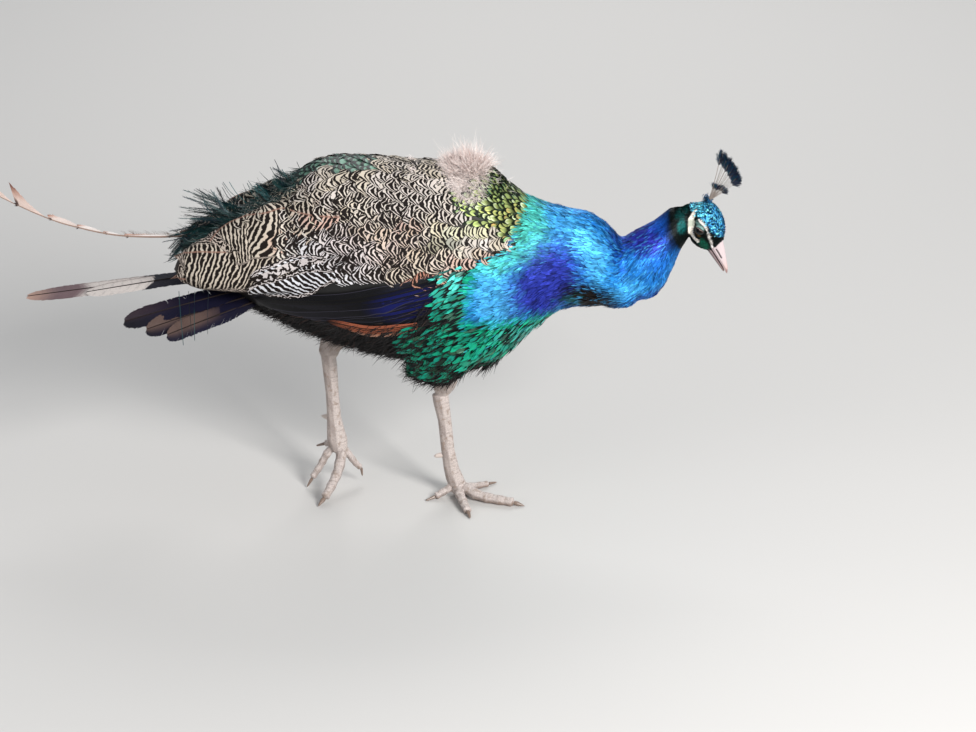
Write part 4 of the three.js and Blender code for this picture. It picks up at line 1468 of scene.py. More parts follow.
# %% Lay strands
def lay_strands(
    name, roots, normals, ways, lengths, lift, droop, width, tint, material, slot, rows=4, curl=0.15,
    nodes=(), wiggle=0.0,
):
    """One tapered ribbon on each root. lift is how steeply it leaves the skin, from 0 to 1."""
    count = len(roots)
    t = np.linspace(0, 1, rows)[None, :, None]
    ahead = unit(smoothed_on_skin(ways, normals) * (1 - lift) + normals * lift)
    bend = curl * rng.standard_normal((count, 1, 3)) * lengths[:, None, None]
    line = roots[:, None] + ahead[:, None] * t * lengths[:, None, None] + bend * t**2
    line[..., 2] -= droop * lengths[:, None] * t[..., 0] ** 2
    phase = rng.uniform(0, 2 * math.pi, (count, 1, 3))
    line = line + wiggle * t * lengths[:, None, None] * (np.sin(5 * t + phase) - np.sin(phase))
    side = unit(np.cross(ahead, rng.standard_normal((count, 3))))
    half = width * (1 - t * 0.9) * 0.5
    points = np.stack([line - side[:, None] * half, line + side[:, None] * half], axis=2)
    share = stacked(t, np.array([-1, 1]), rng.random(count)[:, None, None])
    patch = chart_place(roots)[:, None, None] + (share[..., :2] * [1, 0.5] - [0.5, 0]) * TUFT_PATCH
    add_piece(
        name, points.reshape(-1, 3), grid_faces(count, rows, 2), material, slot, nodes,
        tint=np.repeat(tint, rows * 2, axis=0), vane=share, share=share, patch=patch.reshape(-1, 2),
    )


def fluff_zone(points):
    x, z = points[:, 0], points[:, 2]
    under = soft_step(4, -14, x + 0.25 * (z - 200)) * soft_step(264, 252, z)
    low = soft_step(196, 182, z) * soft_step(60, 40, x)
    wing_pit = oval(points, (-28, 273), (16, 18), 0)
    return np.maximum(np.maximum(under, low), wing_pit) * (x > -262)


roots, normals = scatter(fluff_zone, 3.0)
count = len(roots)
ways = np.column_stack([np.full(count, -0.75), np.zeros(count), np.full(count, -0.5)])
sooty = linear("#0f0b0b") * (0.5 + 0.9 * rng.random((count, 1)))
sooty = blend(sooty, "#4a3128", 0.4 * (rng.random(count) > 0.9))
lay_strands(
    "belly_fluff", roots, normals, stray(ways, normals, 20), about(15, count, 0.5), 0.22, 0.1, 1.5,
    sooty, body_fluff, "belly_feathers",
)
LOOSE_DOWN = [(44, 408), (56, 396), (-52, 420), (-32, 424)]  # small flakes round the tuft


def down_zone(points):
    spots = [oval(points, place, (4, 3)) for place in LOOSE_DOWN]
    return np.maximum.reduce([downy(points), *(spot * (np.abs(points[:, 1]) > 12) for spot in spots)])


roots, normals = scatter(down_zone, 0.85)
count = len(roots)
TUFT_MIDDLE = np.array([8, 0, 402])
ways = unit(roots - TUFT_MIDDLE) * [1, 1.1, 1] + [-0.3, 0, 0.3]
on_top = soft_step(409, 421, roots[:, 2]) * soft_step(34, 20, np.abs(roots[:, 1]))
on_top = on_top * soft_step(-26, 14, roots[:, 0])
tufty = 0.84 + 0.16 * ripple(roots, 6)
lengths = (about(9, count, 0.5) + on_top * (6 + 18 * rng.random(count))) * tufty
warm = soft_step(0.3, 0.75, rng.random(count) + 0.15 * ripple(roots, 9))
warm = warm * on_top * soft_step(27, 14, lengths)
tint = blend(all_over(roots, "down"), "rusty down", 0.95 * warm)
lay_strands(
    "mantle_down_tuft", roots, normals, stray(ways, normals, 45), lengths, 0.35 + 0.4 * on_top[:, None],
    0.03, 0.7, tint, pale_down, "down", rows=6, nodes=["mantle_down"], curl=0.3, wiggle=0.13,
)

# %% [markdown]
# ## Rump plumes
# The short plumes left on the rump have a bare-looking shaft with barbs like a bottle brush. They stand out
# towards the tail in ragged clumps.


# %% Brush plumes
def join_parts(name, parts, material, slot, nodes=()):
    """One piece of many parts. Each part is its points, faces, vane, share, tint and patch."""
    firsts = np.cumsum([0] + [len(part[0]) for part in parts[:-1]])
    faces = np.concatenate([part[1] + first for part, first in zip(parts, firsts)])
    points, vane, share, tint, patch = (np.concatenate([part[k] for part in parts]) for k in (0, 2, 3, 4, 5))
    add_piece(name, points, faces, material, slot, nodes, tint=tint, vane=vane, share=share, patch=patch)


def brush_plumes(name, lines, barb_length, barbs, width, tint, material, slot, nodes=(), spread=0.9):
    """Each line is a shaft, and flat barbs leave it on both sides and slant to its tip."""
    parts = []
    t = np.linspace(0, 1, barbs)
    size = barb_length * (0.45 + 0.55 * np.sin(math.pi * np.clip(t * 0.8 + 0.2, 0, 1)))
    for number, line in enumerate(lines):
        shaft = along_line(line, barbs)
        ahead = unit(np.gradient(shaft, axis=0))
        plane = unit(np.cross(ahead, unit(rng.standard_normal(3) * 0.5 + np.array([0, 0.9, 0.25]))))
        spot = chart_place(shaft[:1])
        half = ahead * width / 2
        for sign in (-1, 1):
            way = unit(ahead * spread + plane * sign + 0.25 * rng.standard_normal(shaft.shape))
            tip = shaft + way * (size * rng.uniform(0.6, 1.15, barbs))[:, None]
            block = np.stack([shaft - half, shaft + half, tip + ahead * width * 0.1, tip], axis=1)
            share = np.tile([[0.35, sign, 0], [0.35, sign, 0], [1, sign, 0], [1, sign, 0]], (barbs, 1))
            faces = np.arange(barbs * 4).reshape(-1, 4)
            colours = np.repeat(tint(shaft, number), 4, axis=0)
            patch = spot + (share[:, :2] - 0.5) * TUFT_PATCH
            parts.append((block.reshape(-1, 3), faces, share, share, colours, patch))
        rod_side = plane * 0.35
        rod = np.stack([shaft - rod_side, shaft + rod_side], axis=1).reshape(-1, 3)
        share = np.broadcast_to([0.9, 0, 0], rod.shape)
        colours = np.repeat(tint(shaft, number), 2, axis=0)
        patch = np.broadcast_to(spot, (len(rod), 2))
        parts.append((rod, grid_faces(1, barbs, 2), share, share, colours, patch))
    join_parts(name, parts, material, slot, nodes)


RUMP_SPIKES = [  # root (x, z), tip (x, z), number of plumes, how far they scatter, how much they curve
    ((-250, 358), (-324, 384), 9, 4, 2),
    ((-256, 362), (-308, 390), 8, 3, 5),
    ((-264, 364), (-284, 394), 3, 3, 8),
    ((-246, 350), (-328, 362), 20, 6, -1),
    ((-262, 344), (-343, 329), 20, 6, -4),
    ((-306, 342), (-338, 306), 12, 4, -2),
    ((-206, 374), (-238, 394), 22, 5, 2),
    ((-184, 390), (-216, 408), 26, 5, 1),
]


def rump_lines():
    lines = []
    for root, tip, number, scatter_by, curve in RUMP_SPIKES:
        for _ in range(number):
            y = rng.uniform(-20, 20)
            start = np.array([root[0], y, root[1]]) + rng.uniform(-1, 1, 3) * scatter_by
            end = np.array([tip[0], y * 0.8, tip[1]]) + rng.uniform(-1, 1, 3) * scatter_by * 0.7
            end = start + (end - start) * rng.uniform(0.6, 0.95)
            middle = (start + end) / 2 - np.array([0, 0, curve * 0.5])
            lines.append([start, middle, end])
    return lines


def thin_quills():
    """Bare hair-like quills that stand clear of the rump."""
    for _ in range(26):
        x = rng.uniform(-290, -170)
        root = np.array([x, rng.uniform(-18, 18), np.interp(x, [-290, -170], [362, 402])])
        climb = math.radians(rng.uniform(25, 65))
        way = np.array([-math.cos(climb), rng.uniform(-0.2, 0.2), math.sin(climb)])
        size = rng.uniform(14, 32)
        yield [root, root + way * size * 0.5, root + way * size + [2, 0, 3]]


def hanging_threads():
    """A few bare quills that have slipped and hang down over the tail."""
    for x, size, lean in ((-322, 44, 8), (-311, 34, 7), (-304, 38, 3), (-288, 30, 2)):
        places, _, met = meet_skin([[x, -SIDE_START, 284.0]], [[0.0, 1.0, 0.0]])
        root = places[0] if len(met) else np.array([x, -50.0, 284.0])
        end = np.array([x + lean, -104.0, root[2] - size])
        yield [root, (root + end) / 2 + [0, -4, 4], end]


def rump_tint(shaft, number):
    colour = ["rump", "#06202c", "#0f4a4c", "#0d1412"][number % 4]
    return all_over(shaft, colour) * (0.5 + 0.6 * rng.random())


brush_plumes(
    "rump_brush", rump_lines(), 7, 34, 1.0, rump_tint, rump_teal, "green_feathers", ["rump_plumes"],
    spread=2.3,
)
brush_plumes(
    "rump_quills", [*thin_quills(), *hanging_threads()], 1.2, 12, 0.3, rump_tint, rump_teal,
    "green_feathers", spread=3,
)
roots, normals = scatter(
    lambda p: soft_step(-176, -182, p[:, 0]) * (np.abs(p[:, 1]) < 34) * (p[:, 2] > 318), 2.6
)
count = len(roots)
ways = np.column_stack([np.full(count, -1.0), np.zeros(count), np.full(count, 0.3)])
shade = PAINT["rump"] * (0.2 + 0.8 * rng.random((count, 1)))
lay_strands(
    "rump_underfluff", roots, normals, stray(ways, normals, 22), about(15, count, 0.4), 0.25, 0.0, 1.3,
    shade, rump_teal, "green_feathers",
)

# %% [markdown]
# ## Tail
# Nine worn feathers are left in the tail. Each vane is made of many clumps of barbs that leave the shaft
# side by side, so its edge can split where a clump has strayed.

# %% Tail feathers
TAIL = [  # root and tip of each shaft, half the vane's width, its roll in degrees
    ((-228, -4, 296), (-442, -8, 264), 20, 0),
    ((-228, 4, 289), (-518, 12, 250), 23, 3),
    ((-228, 14, 283), (-436, 44, 248), 22, 8),
    ((-228, -14, 277), (-392, -66, 251), 20, -14),
    ((-228, 22, 273), (-412, 80, 242), 21, 14),
    ((-228, -20, 270), (-364, -84, 249), 18, -20),
    ((-228, 28, 267), (-384, 104, 236), 20, 20),
    ((-228, -26, 264), (-338, -97, 248), 16, -24),
    ((-228, 32, 261), (-350, 120, 231), 18, 24),
]
TAIL_ROWS = 24
TAIL_CLUMPS = 110
TAIL_SWEEP = math.radians(24)
TAIL_CAMBER = 0.05


def barb_vane(shaft, sideways, upright, reach, clumps=TAIL_CLUMPS, segments=5):
    """Points, faces, vane and share of a free feather built from clumps of barbs on both sides."""
    rows = np.linspace(0, 1, clumps)
    index = rows * (len(shaft) - 1)
    low = np.minimum(index.astype(int), len(shaft) - 2)
    part = (index - low)[:, None]

    def at(values):
        return values[low] * (1 - part) + values[low + 1] * part

    middle, side, up = at(shaft), unit(at(sideways)), unit(at(upright))
    ahead = unit(np.gradient(middle, axis=0))
    length = distance_along(middle)[-1]
    pitch = length / (clumps - 1)
    out = np.linspace(0, 1, segments)[None, :, None]
    points, vanes, shares = [], [], []
    drift = np.cumsum(rng.standard_normal(clumps) * 0.06)
    drift = drift - np.interp(rows, [0, 1], [drift[0], drift[-1]])
    for sign in (-1, 1):
        size = (reach * vane_outline(rows, 0.35, 0.8) * rng.uniform(0.94, 1.04, clumps))[:, None, None]
        angle = TAIL_SWEEP + 0.25 * drift + 0.03 * rng.standard_normal(clumps)
        lean = np.tan(angle)[:, None, None] * (1 - 0.65 * rows[:, None, None] ** 3)
        line = middle[:, None] + side[:, None] * sign * size * out
        line = line + ahead[:, None] * size * lean * out**1.4
        line = line - up[:, None] * TAIL_CAMBER * size * out**2
        line = line + up[:, None] * 0.25 * (rng.random(clumps) - 0.5)[:, None, None] * out
        half = ahead[:, None] * pitch * (0.62 + 0.25 * out)
        points.append(np.stack([line - half, line + half], axis=2))
        along = rows[:, None, None] * length + np.array([-0.6, 0.6]) * pitch
        vanes.append(stacked(along, sign * size * out, 0.0))
        shares.append(stacked(rows[:, None, None], sign * out, np.zeros(2)))
    points, vanes, shares = (np.concatenate(part).reshape(-1, 3) for part in (points, vanes, shares))
    return points, grid_faces(2 * clumps, segments, 2), vanes, shares


def tube(line, radii, sides):
    """Points and faces of a round rod along a line, open at its ends."""
    ahead = unit(np.gradient(line, axis=0))
    guide = np.array([0.0, 1.0, 0.3]) if abs(ahead[0][1]) < 0.8 else np.array([0.0, 0.0, 1.0])
    one = unit(np.cross(ahead, guide))
    two = np.cross(ahead, one)
    angle = np.arange(sides) * 2 * math.pi / sides
    ring = np.cos(angle)[None, :, None] * one[:, None] + np.sin(angle)[None, :, None] * two[:, None]
    points = line[:, None] + ring * np.asarray(radii)[:, None, None]
    return points.reshape(-1, 3), ring_faces(sides, len(line))


def tail_tint(number):
    """Blackish with a painted purple sheen; the two upper feathers are bleached past a sharp line."""
    line, brown_from = {0: (0.62, 1.2), 1: (0.5, 0.74)}.get(number, (2, 2))

    def paint(shares, points):
        t, off = shares[:, 0], shares[:, 1]
        gloss = ["#15131b", "#1a1920", "#121018"][number % 3]
        # painted sheen: a purple patch over the feathers low in the tail
        tint = blend(all_over(points, gloss), "#141432", 0.5 * oval(points, (-300, 262), (60, 22)))
        browned = (number >= 3) * soft_step(0.45, 0.9, t) * soft_step(-0.6, 0.6, off)
        tint = blend(tint, "#43353c", 0.6 * browned)
        worn = (number >= 5) * soft_step(0.3, 0.7, t) * soft_step(-0.9, 0.2, off)
        tint = blend(tint, "#67534a", 0.8 * worn)
        streak = np.sin(t * 170 + off * 3) * np.sin(t * 61) > 0.55
        bleached = linear("#cfc5be") * (1 - 0.16 * streak)[:, None]
        bleached = blend(bleached, "#6d5650", 0.7 * soft_step(0.75, 0.95, off))
        tint = blend(tint, bleached, soft_step(line - 0.006, line + 0.006, t + 0.02 * off))
        brown = blend(all_over(points, "#6f5a5c"), "#b08f80", soft_step(0.85, 1.0, t))
        return blend(tint, brown, soft_step(brown_from - 0.04, brown_from + 0.04, t))

    return paint


OFF_THE_SHAFT = [0, 5, 0]  # a vane value on which the material draws no shaft line


def shaft_part(line, radii, code, sides=6):
    """A quill as a part to join."""
    points, faces = tube(line, radii, sides)
    vane = np.broadcast_to(OFF_THE_SHAFT, points.shape)
    share = np.broadcast_to([1, 0, 0], points.shape)
    ring = np.repeat(np.linspace(0, 1, len(line)), sides)
    patch = np.column_stack([0.02 + 0.96 * ring, np.full(len(points), 0.985)])
    return points, faces, vane, share, all_over(points, code), patch


for number, (root, tip, half, roll) in enumerate(TAIL):
    root, tip = np.array(root, float), np.array(tip, float)
    t = np.linspace(0, 1, TAIL_ROWS)
    shaft = root + (tip - root) * t[:, None]
    shaft[:, 2] = root[2] + (tip[2] - root[2]) * t**1.15
    shaft = root + (shaft - root) * 0.955
    turn = math.radians(roll)
    sideways = np.tile([0, math.cos(turn), -math.sin(turn)], (TAIL_ROWS, 1))
    upright = np.tile([0, math.sin(turn), math.cos(turn)], (TAIL_ROWS, 1))
    points, faces, vane, share = barb_vane(shaft, sideways, upright, half)
    tint = tail_tint(number)(share, points)
    patch = np.column_stack([0.02 + share[:, 0] * 0.96, 0.48 + share[:, 1] * 0.46])
    quill = shaft_part(shaft + upright * 0.3, 1.5 - 1.2 * t, "#241c1a")
    join_parts(
        f"tail_feather_{number + 1}_vane", [(points, faces, vane, share, tint, patch), quill],
        tail_brown, "tail_feathers", [f"tail_feather_{number + 1}"],
    )

# %% [markdown]
# One worn plume of the train is left. Its quill is bare and pale, and what remains of its vane stands up in
# saw-like spikes.

# %% Worn plume
PLUME_ROWS = 60
PLUME = along_line(
    [
        (-296, 12, 331), (-340, 15, 325), (-398, 15, 327), (-451, 15, 339),
        (-481, 15, 350), (-510, 15, 364), (-536, 15, 378), (-560, 15, 393),
    ],
    PLUME_ROWS,
)
TEETH = [  # where each length of vane starts and ends on the quill, its height, how brown its tip is
    (0.02, 0.33, 3.6, 0.0),
    (0.35, 0.42, 2.6, 0.5),
    (0.43, 0.53, 4.2, 0.8),
    (0.53, 0.655, 6.0, 0.6),
    (0.655, 0.80, 21.0, 1.0),
    (0.80, 0.93, 17.0, 1.0),
    (0.93, 0.99, 7.0, 1.0),
]
PLUME_WAY = unit(np.gradient(PLUME, axis=0))
PLUME_UP = unit(np.cross(PLUME_WAY, [0, 1, 0]))
PLUME_UP = PLUME_UP * np.sign(PLUME_UP[:, 2:])


def worn_vane():
    """Lengths of bleached vane on the upper side; each rises to a brown tooth that points at the tip."""
    parts = []
    rows, columns = 26, 6
    for start, end, height, brown in TEETH:
        at = np.linspace(start, end, rows) * (PLUME_ROWS - 1)
        k = np.minimum(at.astype(int), PLUME_ROWS - 2)
        base = PLUME[k] + (PLUME[k + 1] - PLUME[k]) * (at - k)[:, None]
        rise = np.linspace(0, 1, rows)
        tall = height * (rise**1.5 if height > 10 else np.sin(math.pi * (0.1 + 0.8 * rise)) ** 0.5)
        tall = tall * (1 + 0.07 * rng.standard_normal(rows) * (rise < 0.9))
        out = np.linspace(0, 1, columns)
        lean = PLUME_UP[k] + PLUME_WAY[k] * 0.9
        points = base[:, None] + lean[:, None] * (tall[:, None] * out[None])[..., None]
        points[..., 1] += 1.5 * out[None] ** 2 * rise[:, None]
        fold = (out[None] * rise[:, None] ** 2).ravel()
        bleached = blend(all_over(np.zeros((len(fold), 3)), "#d6d0cc"), "#d3bdb2", soft_step(0.3, 0.7, start))
        tint = blend(bleached, "#b48f80", soft_step(0.2, 0.6, fold))
        tint = blend(tint, "#6b4337", brown * soft_step(0.55, 0.85, fold))
        dark_foot = (rise[:, None] > 0.9) * (out[None] < 0.35) * (brown > 0)
        tint = blend(tint, "#4a3632", 0.9 * dark_foot.ravel())
        share = stacked(rise[:, None], out[None], 0.0).reshape(-1, 3)
        vane = share * [height * 4, height, 0] + [0, 1, 0]
        patch = np.column_stack([start + (end - start) * share[:, 0], 0.1 + 0.8 * share[:, 1]])
        parts.append((points.reshape(-1, 3), grid_faces(1, rows, columns), vane, share, tint, patch))
    return parts


def thread(line, radii, code):
    """A fine strand as a part to join."""
    points, faces = tube(line, radii, 3)
    blank = np.zeros((len(points), 3))
    return points, faces, blank + OFF_THE_SHAFT, blank, all_over(points, code), blank[:, :2] + 0.5


def gap_stubble():
    """Short dark stumps of barbs in the gaps between the lengths of vane."""
    for _, end, *_ in TEETH[:-1]:
        k = int(end * (PLUME_ROWS - 1))
        for _ in range(14):
            root = PLUME[k] + PLUME_WAY[k] * rng.uniform(-2.5, 1)
            rise, aside = rng.uniform(-1.2, 0.8), rng.uniform(-0.5, 0.5)
            way = unit(PLUME_WAY[k] * 1.2 + PLUME_UP[k] * rise + [0, aside, 0])
            line = root + way * np.linspace(0, rng.uniform(2, 4.5), 3)[:, None]
            yield thread(line, [0.5, 0.4, 0.1], "#33282a")


def loose_barbs():
    """Single barbs that bend back to the quill, near its root."""
    for _ in range(70):
        k = int(rng.uniform(0.03, 0.34) * (PLUME_ROWS - 1))
        rise, lead, aside = rng.uniform(0.7, 1.2), rng.uniform(0.2, 1.2), rng.uniform(-0.3, 0.3)
        way = unit(PLUME_UP[k] * rise + PLUME_WAY[k] * lead + [0, aside, 0])
        size = rng.uniform(4, 9)
        root = PLUME[k] + PLUME_UP[k] * 2.5 + PLUME_WAY[k] * rng.uniform(0, 4)
        bend = unit(way + PLUME_WAY[k] * 1.2)
        elbow = root + way * size * 0.5
        yield thread(np.array([root, elbow, elbow + bend * size * 0.5]), [0.16, 0.14, 0.06], "#8d827c")


quill_radii = np.interp(np.linspace(0, 1, PLUME_ROWS), [0, 0.4, 1], [1.3, 0.9, 0.4])
pale_quill = flight_feather("worn plume, bleached keratin", 0.5, shaft="#d9ccbf", lines=0.1)
quill = shaft_part(PLUME, quill_radii, "#8a7468", 8)
join_parts(
    "worn_plume_quill", [quill, *worn_vane(), *gap_stubble(), *loose_barbs()], pale_quill, "pale_plume",
    ["worn_plume"],
)

# %% [markdown]
# ## Crest
# The crest is a fan of bare shafts. Each ends in a small fringed brush, deep blue-green.

# %% Crest fan
CREST_ROOT = np.array([-15, 0, 19.0])
CREST_ROWS = 12
BRUSH_BARBS = 90
BLADE_SHARE = np.array([[0.4, 0, 0], [0.4, 0, 0], [1, 1, 0], [1, 1, 0]])


def crest_lines(count, angles, lengths):
    for i in range(count):
        share = i / (count - 1)
        angle = math.radians(angles[0] + (angles[1] - angles[0]) * share)
        length = lengths[0] + (lengths[1] - lengths[0]) * share
        lean = 0.07 * math.sin(2.4 * i)
        way = np.array([math.cos(angle), lean, math.sin(angle)])
        bow = np.array([math.sin(angle), 0, -math.cos(angle)]) * 0.02 * length
        t = np.linspace(0, 1, CREST_ROWS)[:, None]
        yield CREST_ROOT + way * length * t + bow * np.sin(math.pi * t), way


def blade(corners, colour, spot):
    """One barb of four points as a part to join, darker at its root."""
    patch = spot + (BLADE_SHARE[:, :2] - 0.5) * TUFT_PATCH
    tint = np.broadcast_to(colour, corners.shape)
    return from_head(corners), np.array([[0, 1, 2, 3]]), BLADE_SHARE * 5, BLADE_SHARE, tint, patch


def crest_fringe(line, way, size):
    """Barbs round the last fifth of a crest shaft, spread like a small fan."""
    shades = [PAINT["teal"] * 0.3, linear("#0a2340"), linear("#123a6e"), linear("#150f1c")]
    across = unit(np.cross(way, [0, 1, 0]))
    for i in range(BRUSH_BARBS):
        outer = i / (BRUSH_BARBS - 1)
        at = (0.8 + 0.2 * outer) * (len(line) - 1)
        k = min(int(at), len(line) - 2)
        root = line[k] + (line[k + 1] - line[k]) * (at - k)
        turn = (-1) ** i * math.radians(38 * (1 - 0.75 * outer) + rng.uniform(-10, 10))
        out = unit(way * math.cos(turn) + across * math.sin(turn) + [0, rng.uniform(-0.3, 0.3), 0])
        tip = root + out * size * (1 - 0.45 * outer) * rng.uniform(0.7, 1.1)
        wide = np.cross(out, [0, 1, 0]) * 0.2 + np.array([0, 0.12, 0])
        corners = np.array([root - wide, root + wide, tip + wide * 0.7, tip - wide * 0.7])
        yield blade(corners, shades[i % 4], [0.74 + 0.16 * outer, 0.3 + 0.4 * rng.random()])


def crest_foot():
    """Short tufts where the shafts leave the crown."""
    shades = [PAINT["crown"] * 0.5, linear("#07131c"), linear("#0c3a50")]
    for i in range(320):
        root = np.array([-16.0, 0, 17]) + rng.standard_normal(3) * [2.6, 2.0, 1.6]
        way = unit(np.array([-0.35, 0, 1]) + rng.standard_normal(3) * [0.35, 0.35, 0.1])
        tip = root + way * rng.uniform(2, 5.5)
        side = unit(np.cross(way, rng.standard_normal(3))) * 0.28
        corners = np.array([root - side, root + side, tip + side, tip - side])
        yield blade(corners, shades[i % 3], [0.05, 0.9])


parts = []
for angles, lengths, count, thick, code, fringe in (
    ((90, 128), (46, 61), 17, (0.28, 0.2), "#94877e", 10),
    ((88, 122), (25, 19), 4, (0.34, 0.26), "#a8998e", 8.5),
):
    for line, way in crest_lines(count, angles, lengths):
        parts.append(shaft_part(from_head(line), np.linspace(*thick, CREST_ROWS), code, 5))
        parts += crest_fringe(line, way, fringe)
parts += crest_foot()
crest_keratin = soft_strand("crest, bare shafts and blue brushes", roughness=0.45, root_shade=0.6)
join_parts("crest_fan", parts, crest_keratin, "green_feathers", ["crest"])

# %% [markdown]
# ## Bill, eyes, legs and claws
# The hard parts are remeshed from their solids and eased, which keeps their size and rounds their facets.
# The nostrils and the plates of the legs are worked into the points.

# %% Bill
def horn_finish(name, roughness):
    material, tree = new_material(name)
    tint = stored(tree, "tint")
    place = add_node(tree, "ShaderNodeTexCoord").outputs["Object"]
    grain = add_node(tree, "ShaderNodeTexNoise", {"Vector": place, "Scale": 500.0, "Detail": 3.0})
    surface(tree, tint, roughness, bump=grain.outputs[0], depth=0.1)
    return material


bill_horn = horn_finish("bill, smooth horn", 0.42)
NOSTRIL = [[36.7, -6.4], [42, -7.0], [47.9, -8.2]]
BILL_CELL = 0.55
CLAW_CELL = 0.45
LEG_CELL = 0.8


def bill_tint(points):
    local = to_head(points)
    tint = all_over(points, "#c3b3b3")
    tint = blend(tint, "#c9a79c", 0.6 * soft_step(48, 64, local[:, 0]))
    tint = blend(tint, "#7a4a42", 0.8 * soft_step(60, 67, local[:, 0]))
    gape = soft_step(1.2, 0.2, np.abs(local[:, 2] + 11.4 + 0.17 * (local[:, 0] - 50)))
    tint = blend(tint, "#5c3a38", 0.5 * gape)
    nostril = soft_step(1.3, 0.6, line_distance(local[:, [0, 2]], NOSTRIL))
    return blend(tint, "#2a1a18", 0.9 * nostril)


for part in ("bill_upper", "bill_lower"):
    points, normals, faces = remeshed([part], BILL_CELL, 5)
    pit = soft_step(1.5, 0.3, line_distance(to_head(points)[:, [0, 2]], NOSTRIL)) * (part == "bill_upper")
    tint = bill_tint(points)
    # The lower bill is darkened to a reddish brown: partly its own colour, partly painted shade under the
    # upper bill.
    if part == "bill_lower":
        tint = blend(tint, "#4a2e2c", 0.75)
    points = points - normals * (0.9 * pit)[:, None]
    add_piece(part + "_horn", points, faces, bill_horn, "horn", [part], tint=tint)

# %% [markdown]
# The eye is a dark brown ball with a wet, clear front, so it is smooth and glossy.


# %% Eyes
def wet_eye():
    material, tree = new_material("eye, wet dark brown")
    tint = stored(tree, "tint")
    surface(tree, tint, 0.08, IOR=1.376, Specular_IOR_Level=0.25)
    return material


eye_material = wet_eye()
EYE_TURNS, EYE_RINGS = 32, 20
for side, sign in SIDES.items():
    around = np.arange(EYE_TURNS) * 2 * math.pi / EYE_TURNS
    flat = np.column_stack([np.cos(around), np.zeros(EYE_TURNS), np.sin(around)])
    outward = np.array([0, sign, 0.0])
    spread = np.linspace(0.02, math.pi - 0.02, EYE_RINGS)[:, None, None]
    ball = (np.cos(spread) * outward + np.sin(spread) * flat).reshape(-1, 3)
    tint = blend(all_over(ball, "#1c0f08"), "#020201", soft_step(0.78, 0.84, ball @ outward))
    points = from_head(EYE_AT * [1, sign, 1] + ball * EYE_RADIUS * 0.995)
    faces = ring_faces(EYE_TURNS, EYE_RINGS)
    add_piece(f"eyeball_{side}", points, faces, eye_material, "eye", [f"eye_{side}"], tint=tint)

# %% [markdown]
# The legs are scaled: broad plates across the front of the shank and the tops of the toes, small scales
# behind. The plates are pressed into the points, and the small scales are a cell pattern in the bump.


# %% Legs
SCALE_SIZE = 2.2  # millimetres, of the small scales


def leg_scales():
    material, tree = new_material("leg skin, horny scales")
    tint = stored(tree, "tint")
    place = add_node(tree, "ShaderNodeTexCoord").outputs["Object"]
    inputs = {"Vector": place, "Scale": 1000 / SCALE_SIZE}
    cells = add_node(tree, "ShaderNodeTexVoronoi", inputs, feature="DISTANCE_TO_EDGE")
    edge = ramp(tree, cells.outputs["Distance"], 0.0, 0.12)
    colour = mixed(tree, edge, scaled(tree, tint, 0.72), tint)
    worn = add_node(tree, "ShaderNodeTexNoise", {"Vector": place, "Scale": 170.0, "Detail": 4.0})
    spots = maths(tree, "MULTIPLY", ramp(tree, worn.outputs[0], 0.52, 0.66), 0.55)
    colour = mixed(tree, spots, colour, colour4("#86705f"))
    surface(tree, colour, 0.5, bump=edge, depth=0.35)
    return material


scaly = leg_scales()
PLATE = 5.0  # millimetres from one plate to the next
SHANK_AXIS = {
    "right": [(-22, -6, 140), (-23, -6, 122), (-19.4, -5, 100), (-16, -4, 62), (-12, -2, 37), (0, 0, 4)],
    "left": [
        (-156, 30, 172), (-155.5, 30, 158), (-153, 30, 121), (-151.5, 31, 89), (-148, 30, 58), (-146, 28, 46),
    ],
}


def plate_grooves(points, normals, side):
    """How deep each point lies in a groove between plates, and how much it faces the front or up."""
    axis = along_line(SHANK_AXIS[side], 120)
    gaps = np.linalg.norm(points[:, None] - axis[None], axis=2)
    nearest = gaps.argmin(axis=1)
    on_shank = soft_step(19, 14, gaps.min(axis=1)) > 0.5
    from_foot = np.linalg.norm(points - axis[-1], axis=1)
    distance = np.where(on_shank, distance_along(axis)[nearest], from_foot)
    wave = np.abs((distance / PLATE) % 1 - 0.5) * 2
    groove = soft_step(0.78, 1.0, wave)
    front = np.where(on_shank, soft_step(-0.2, 0.3, normals[:, 0]), soft_step(0.0, 0.5, normals[:, 2]))
    return groove * front, front


for side in SIDES:
    names = [f"shank_{side}", f"tarsus_{side}", *(f"toe_{side}_{i}" for i in (1, 2, 3, 4))]
    points, normals, faces = remeshed(names, LEG_CELL, 5)
    groove, front = plate_grooves(points, normals, side)
    shaped = points - normals * (0.45 * groove - 0.15 * front)[:, None]
    shaped[:, 2] = np.maximum(shaped[:, 2], 0.0)
    # Lighter on the front of the shank and the tops of the toes: partly the plates' paler colour, partly
    # painted light on the sides that face the lamps.
    tint = blend(all_over(points, "#b3a59e"), "#cdc0b9", 0.7 * front)
    mottled = soft_step(0.2, 0.8, np.sin(points[:, 0] * 0.31 + points[:, 2] * 0.23) * 0.5 + 0.5)
    tint = blend(tint, "#8b7d76", 0.4 * mottled * (1 - front))
    tint = blend(tint, "#6a5850", 0.35 * groove)
    tint = blend(tint, "#8f7364", 0.6 * soft_step(6, 2, points[:, 2]))
    add_piece(f"leg_skin_{side}", shaped, faces, scaly, "leg_skin", names, tint=tint)

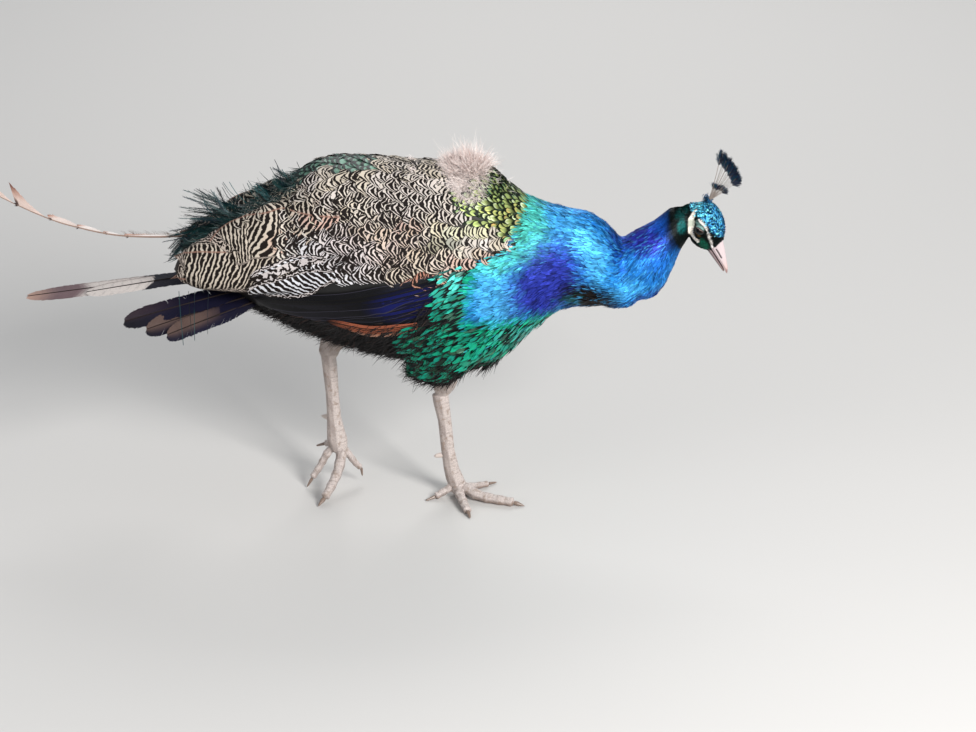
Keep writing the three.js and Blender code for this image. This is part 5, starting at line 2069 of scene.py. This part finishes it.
claw_horn = horn_finish("claw, dark horn", 0.35)
CLAWS = [f"claw_{side}_{i}" for side in SIDES for i in (1, 2, 3, 4)]
for name, nodes, code in (
    ("claws_horn", CLAWS, "#7d6a5e"),
    ("spurs_horn", ["spur_left", "spur_right"], "#c2b4ab"),
):
    points, _, faces = remeshed(nodes, CLAW_CELL, 4)
    points[:, 2] = np.maximum(points[:, 2], 0.0)
    add_piece(name, points, faces, claw_horn, "horn", nodes, tint=all_over(points, code))

# %% [markdown]
# ## Floor, light and camera
# A pale floor, a large soft light from the bird's front right and above, a weaker one from the other side,
# and even light all round. The camera looks level with the bird's side, from a little above.

# %% Studio
FLOOR_REACH = 4000  # millimetres to each side
corners = FLOOR_REACH * np.array([[-1, -1, 0], [1, -1, 0], [1, 1, 0], [-1, 1, 0]])
floor = make_mesh("floor", corners, np.array([[0, 1, 2, 3]]))
floor_paint, floor_tree = new_material("floor, matt pale grey")
surface(floor_tree, colour4("#c9c6c2"), 0.9)
floor.data.materials.append(floor_paint)

AIM = Vector((0.0316, 0.0, 0.168))
for name, place, size, power in (
    ("key light", (1.5, -2.2, 1.7), 1.0, 112),
    ("fill light", (-2.4, -1.6, 1.6), 2.0, 20),
    ("rim light", (0.3, 2.4, 2.2), 1.6, 40),
):
    lamp = bpy.data.lights.new(name, "AREA")
    lamp.energy = power
    lamp.size = size
    stand = bpy.data.objects.new(name, lamp)
    stand.location = place
    stand.rotation_euler = (AIM - Vector(place)).to_track_quat("-Z", "Y").to_euler()
    bpy.context.scene.collection.objects.link(stand)
world = bpy.data.worlds.new("even light")
bpy.context.scene.world = world
world.use_nodes = True
world.node_tree.nodes["Background"].inputs["Color"].default_value = (0.86, 0.92, 1.0, 1)
world.node_tree.nodes["Background"].inputs["Strength"].default_value = 0.42
bpy.context.scene.view_settings.view_transform = "Standard"

CAMERA_RISE = math.radians(24)
CAMERA_DISTANCE = 4.0  # metres
lens = bpy.data.cameras.new("camera")
lens.lens = 126
lens.sensor_width = 36
camera = bpy.data.objects.new("camera", lens)
camera.location = AIM + CAMERA_DISTANCE * Vector((0, -math.cos(CAMERA_RISE), math.sin(CAMERA_RISE)))
camera.rotation_euler = (math.pi / 2 - CAMERA_RISE, 0, 0)
bpy.context.scene.collection.objects.link(camera)
bpy.context.scene.camera = camera
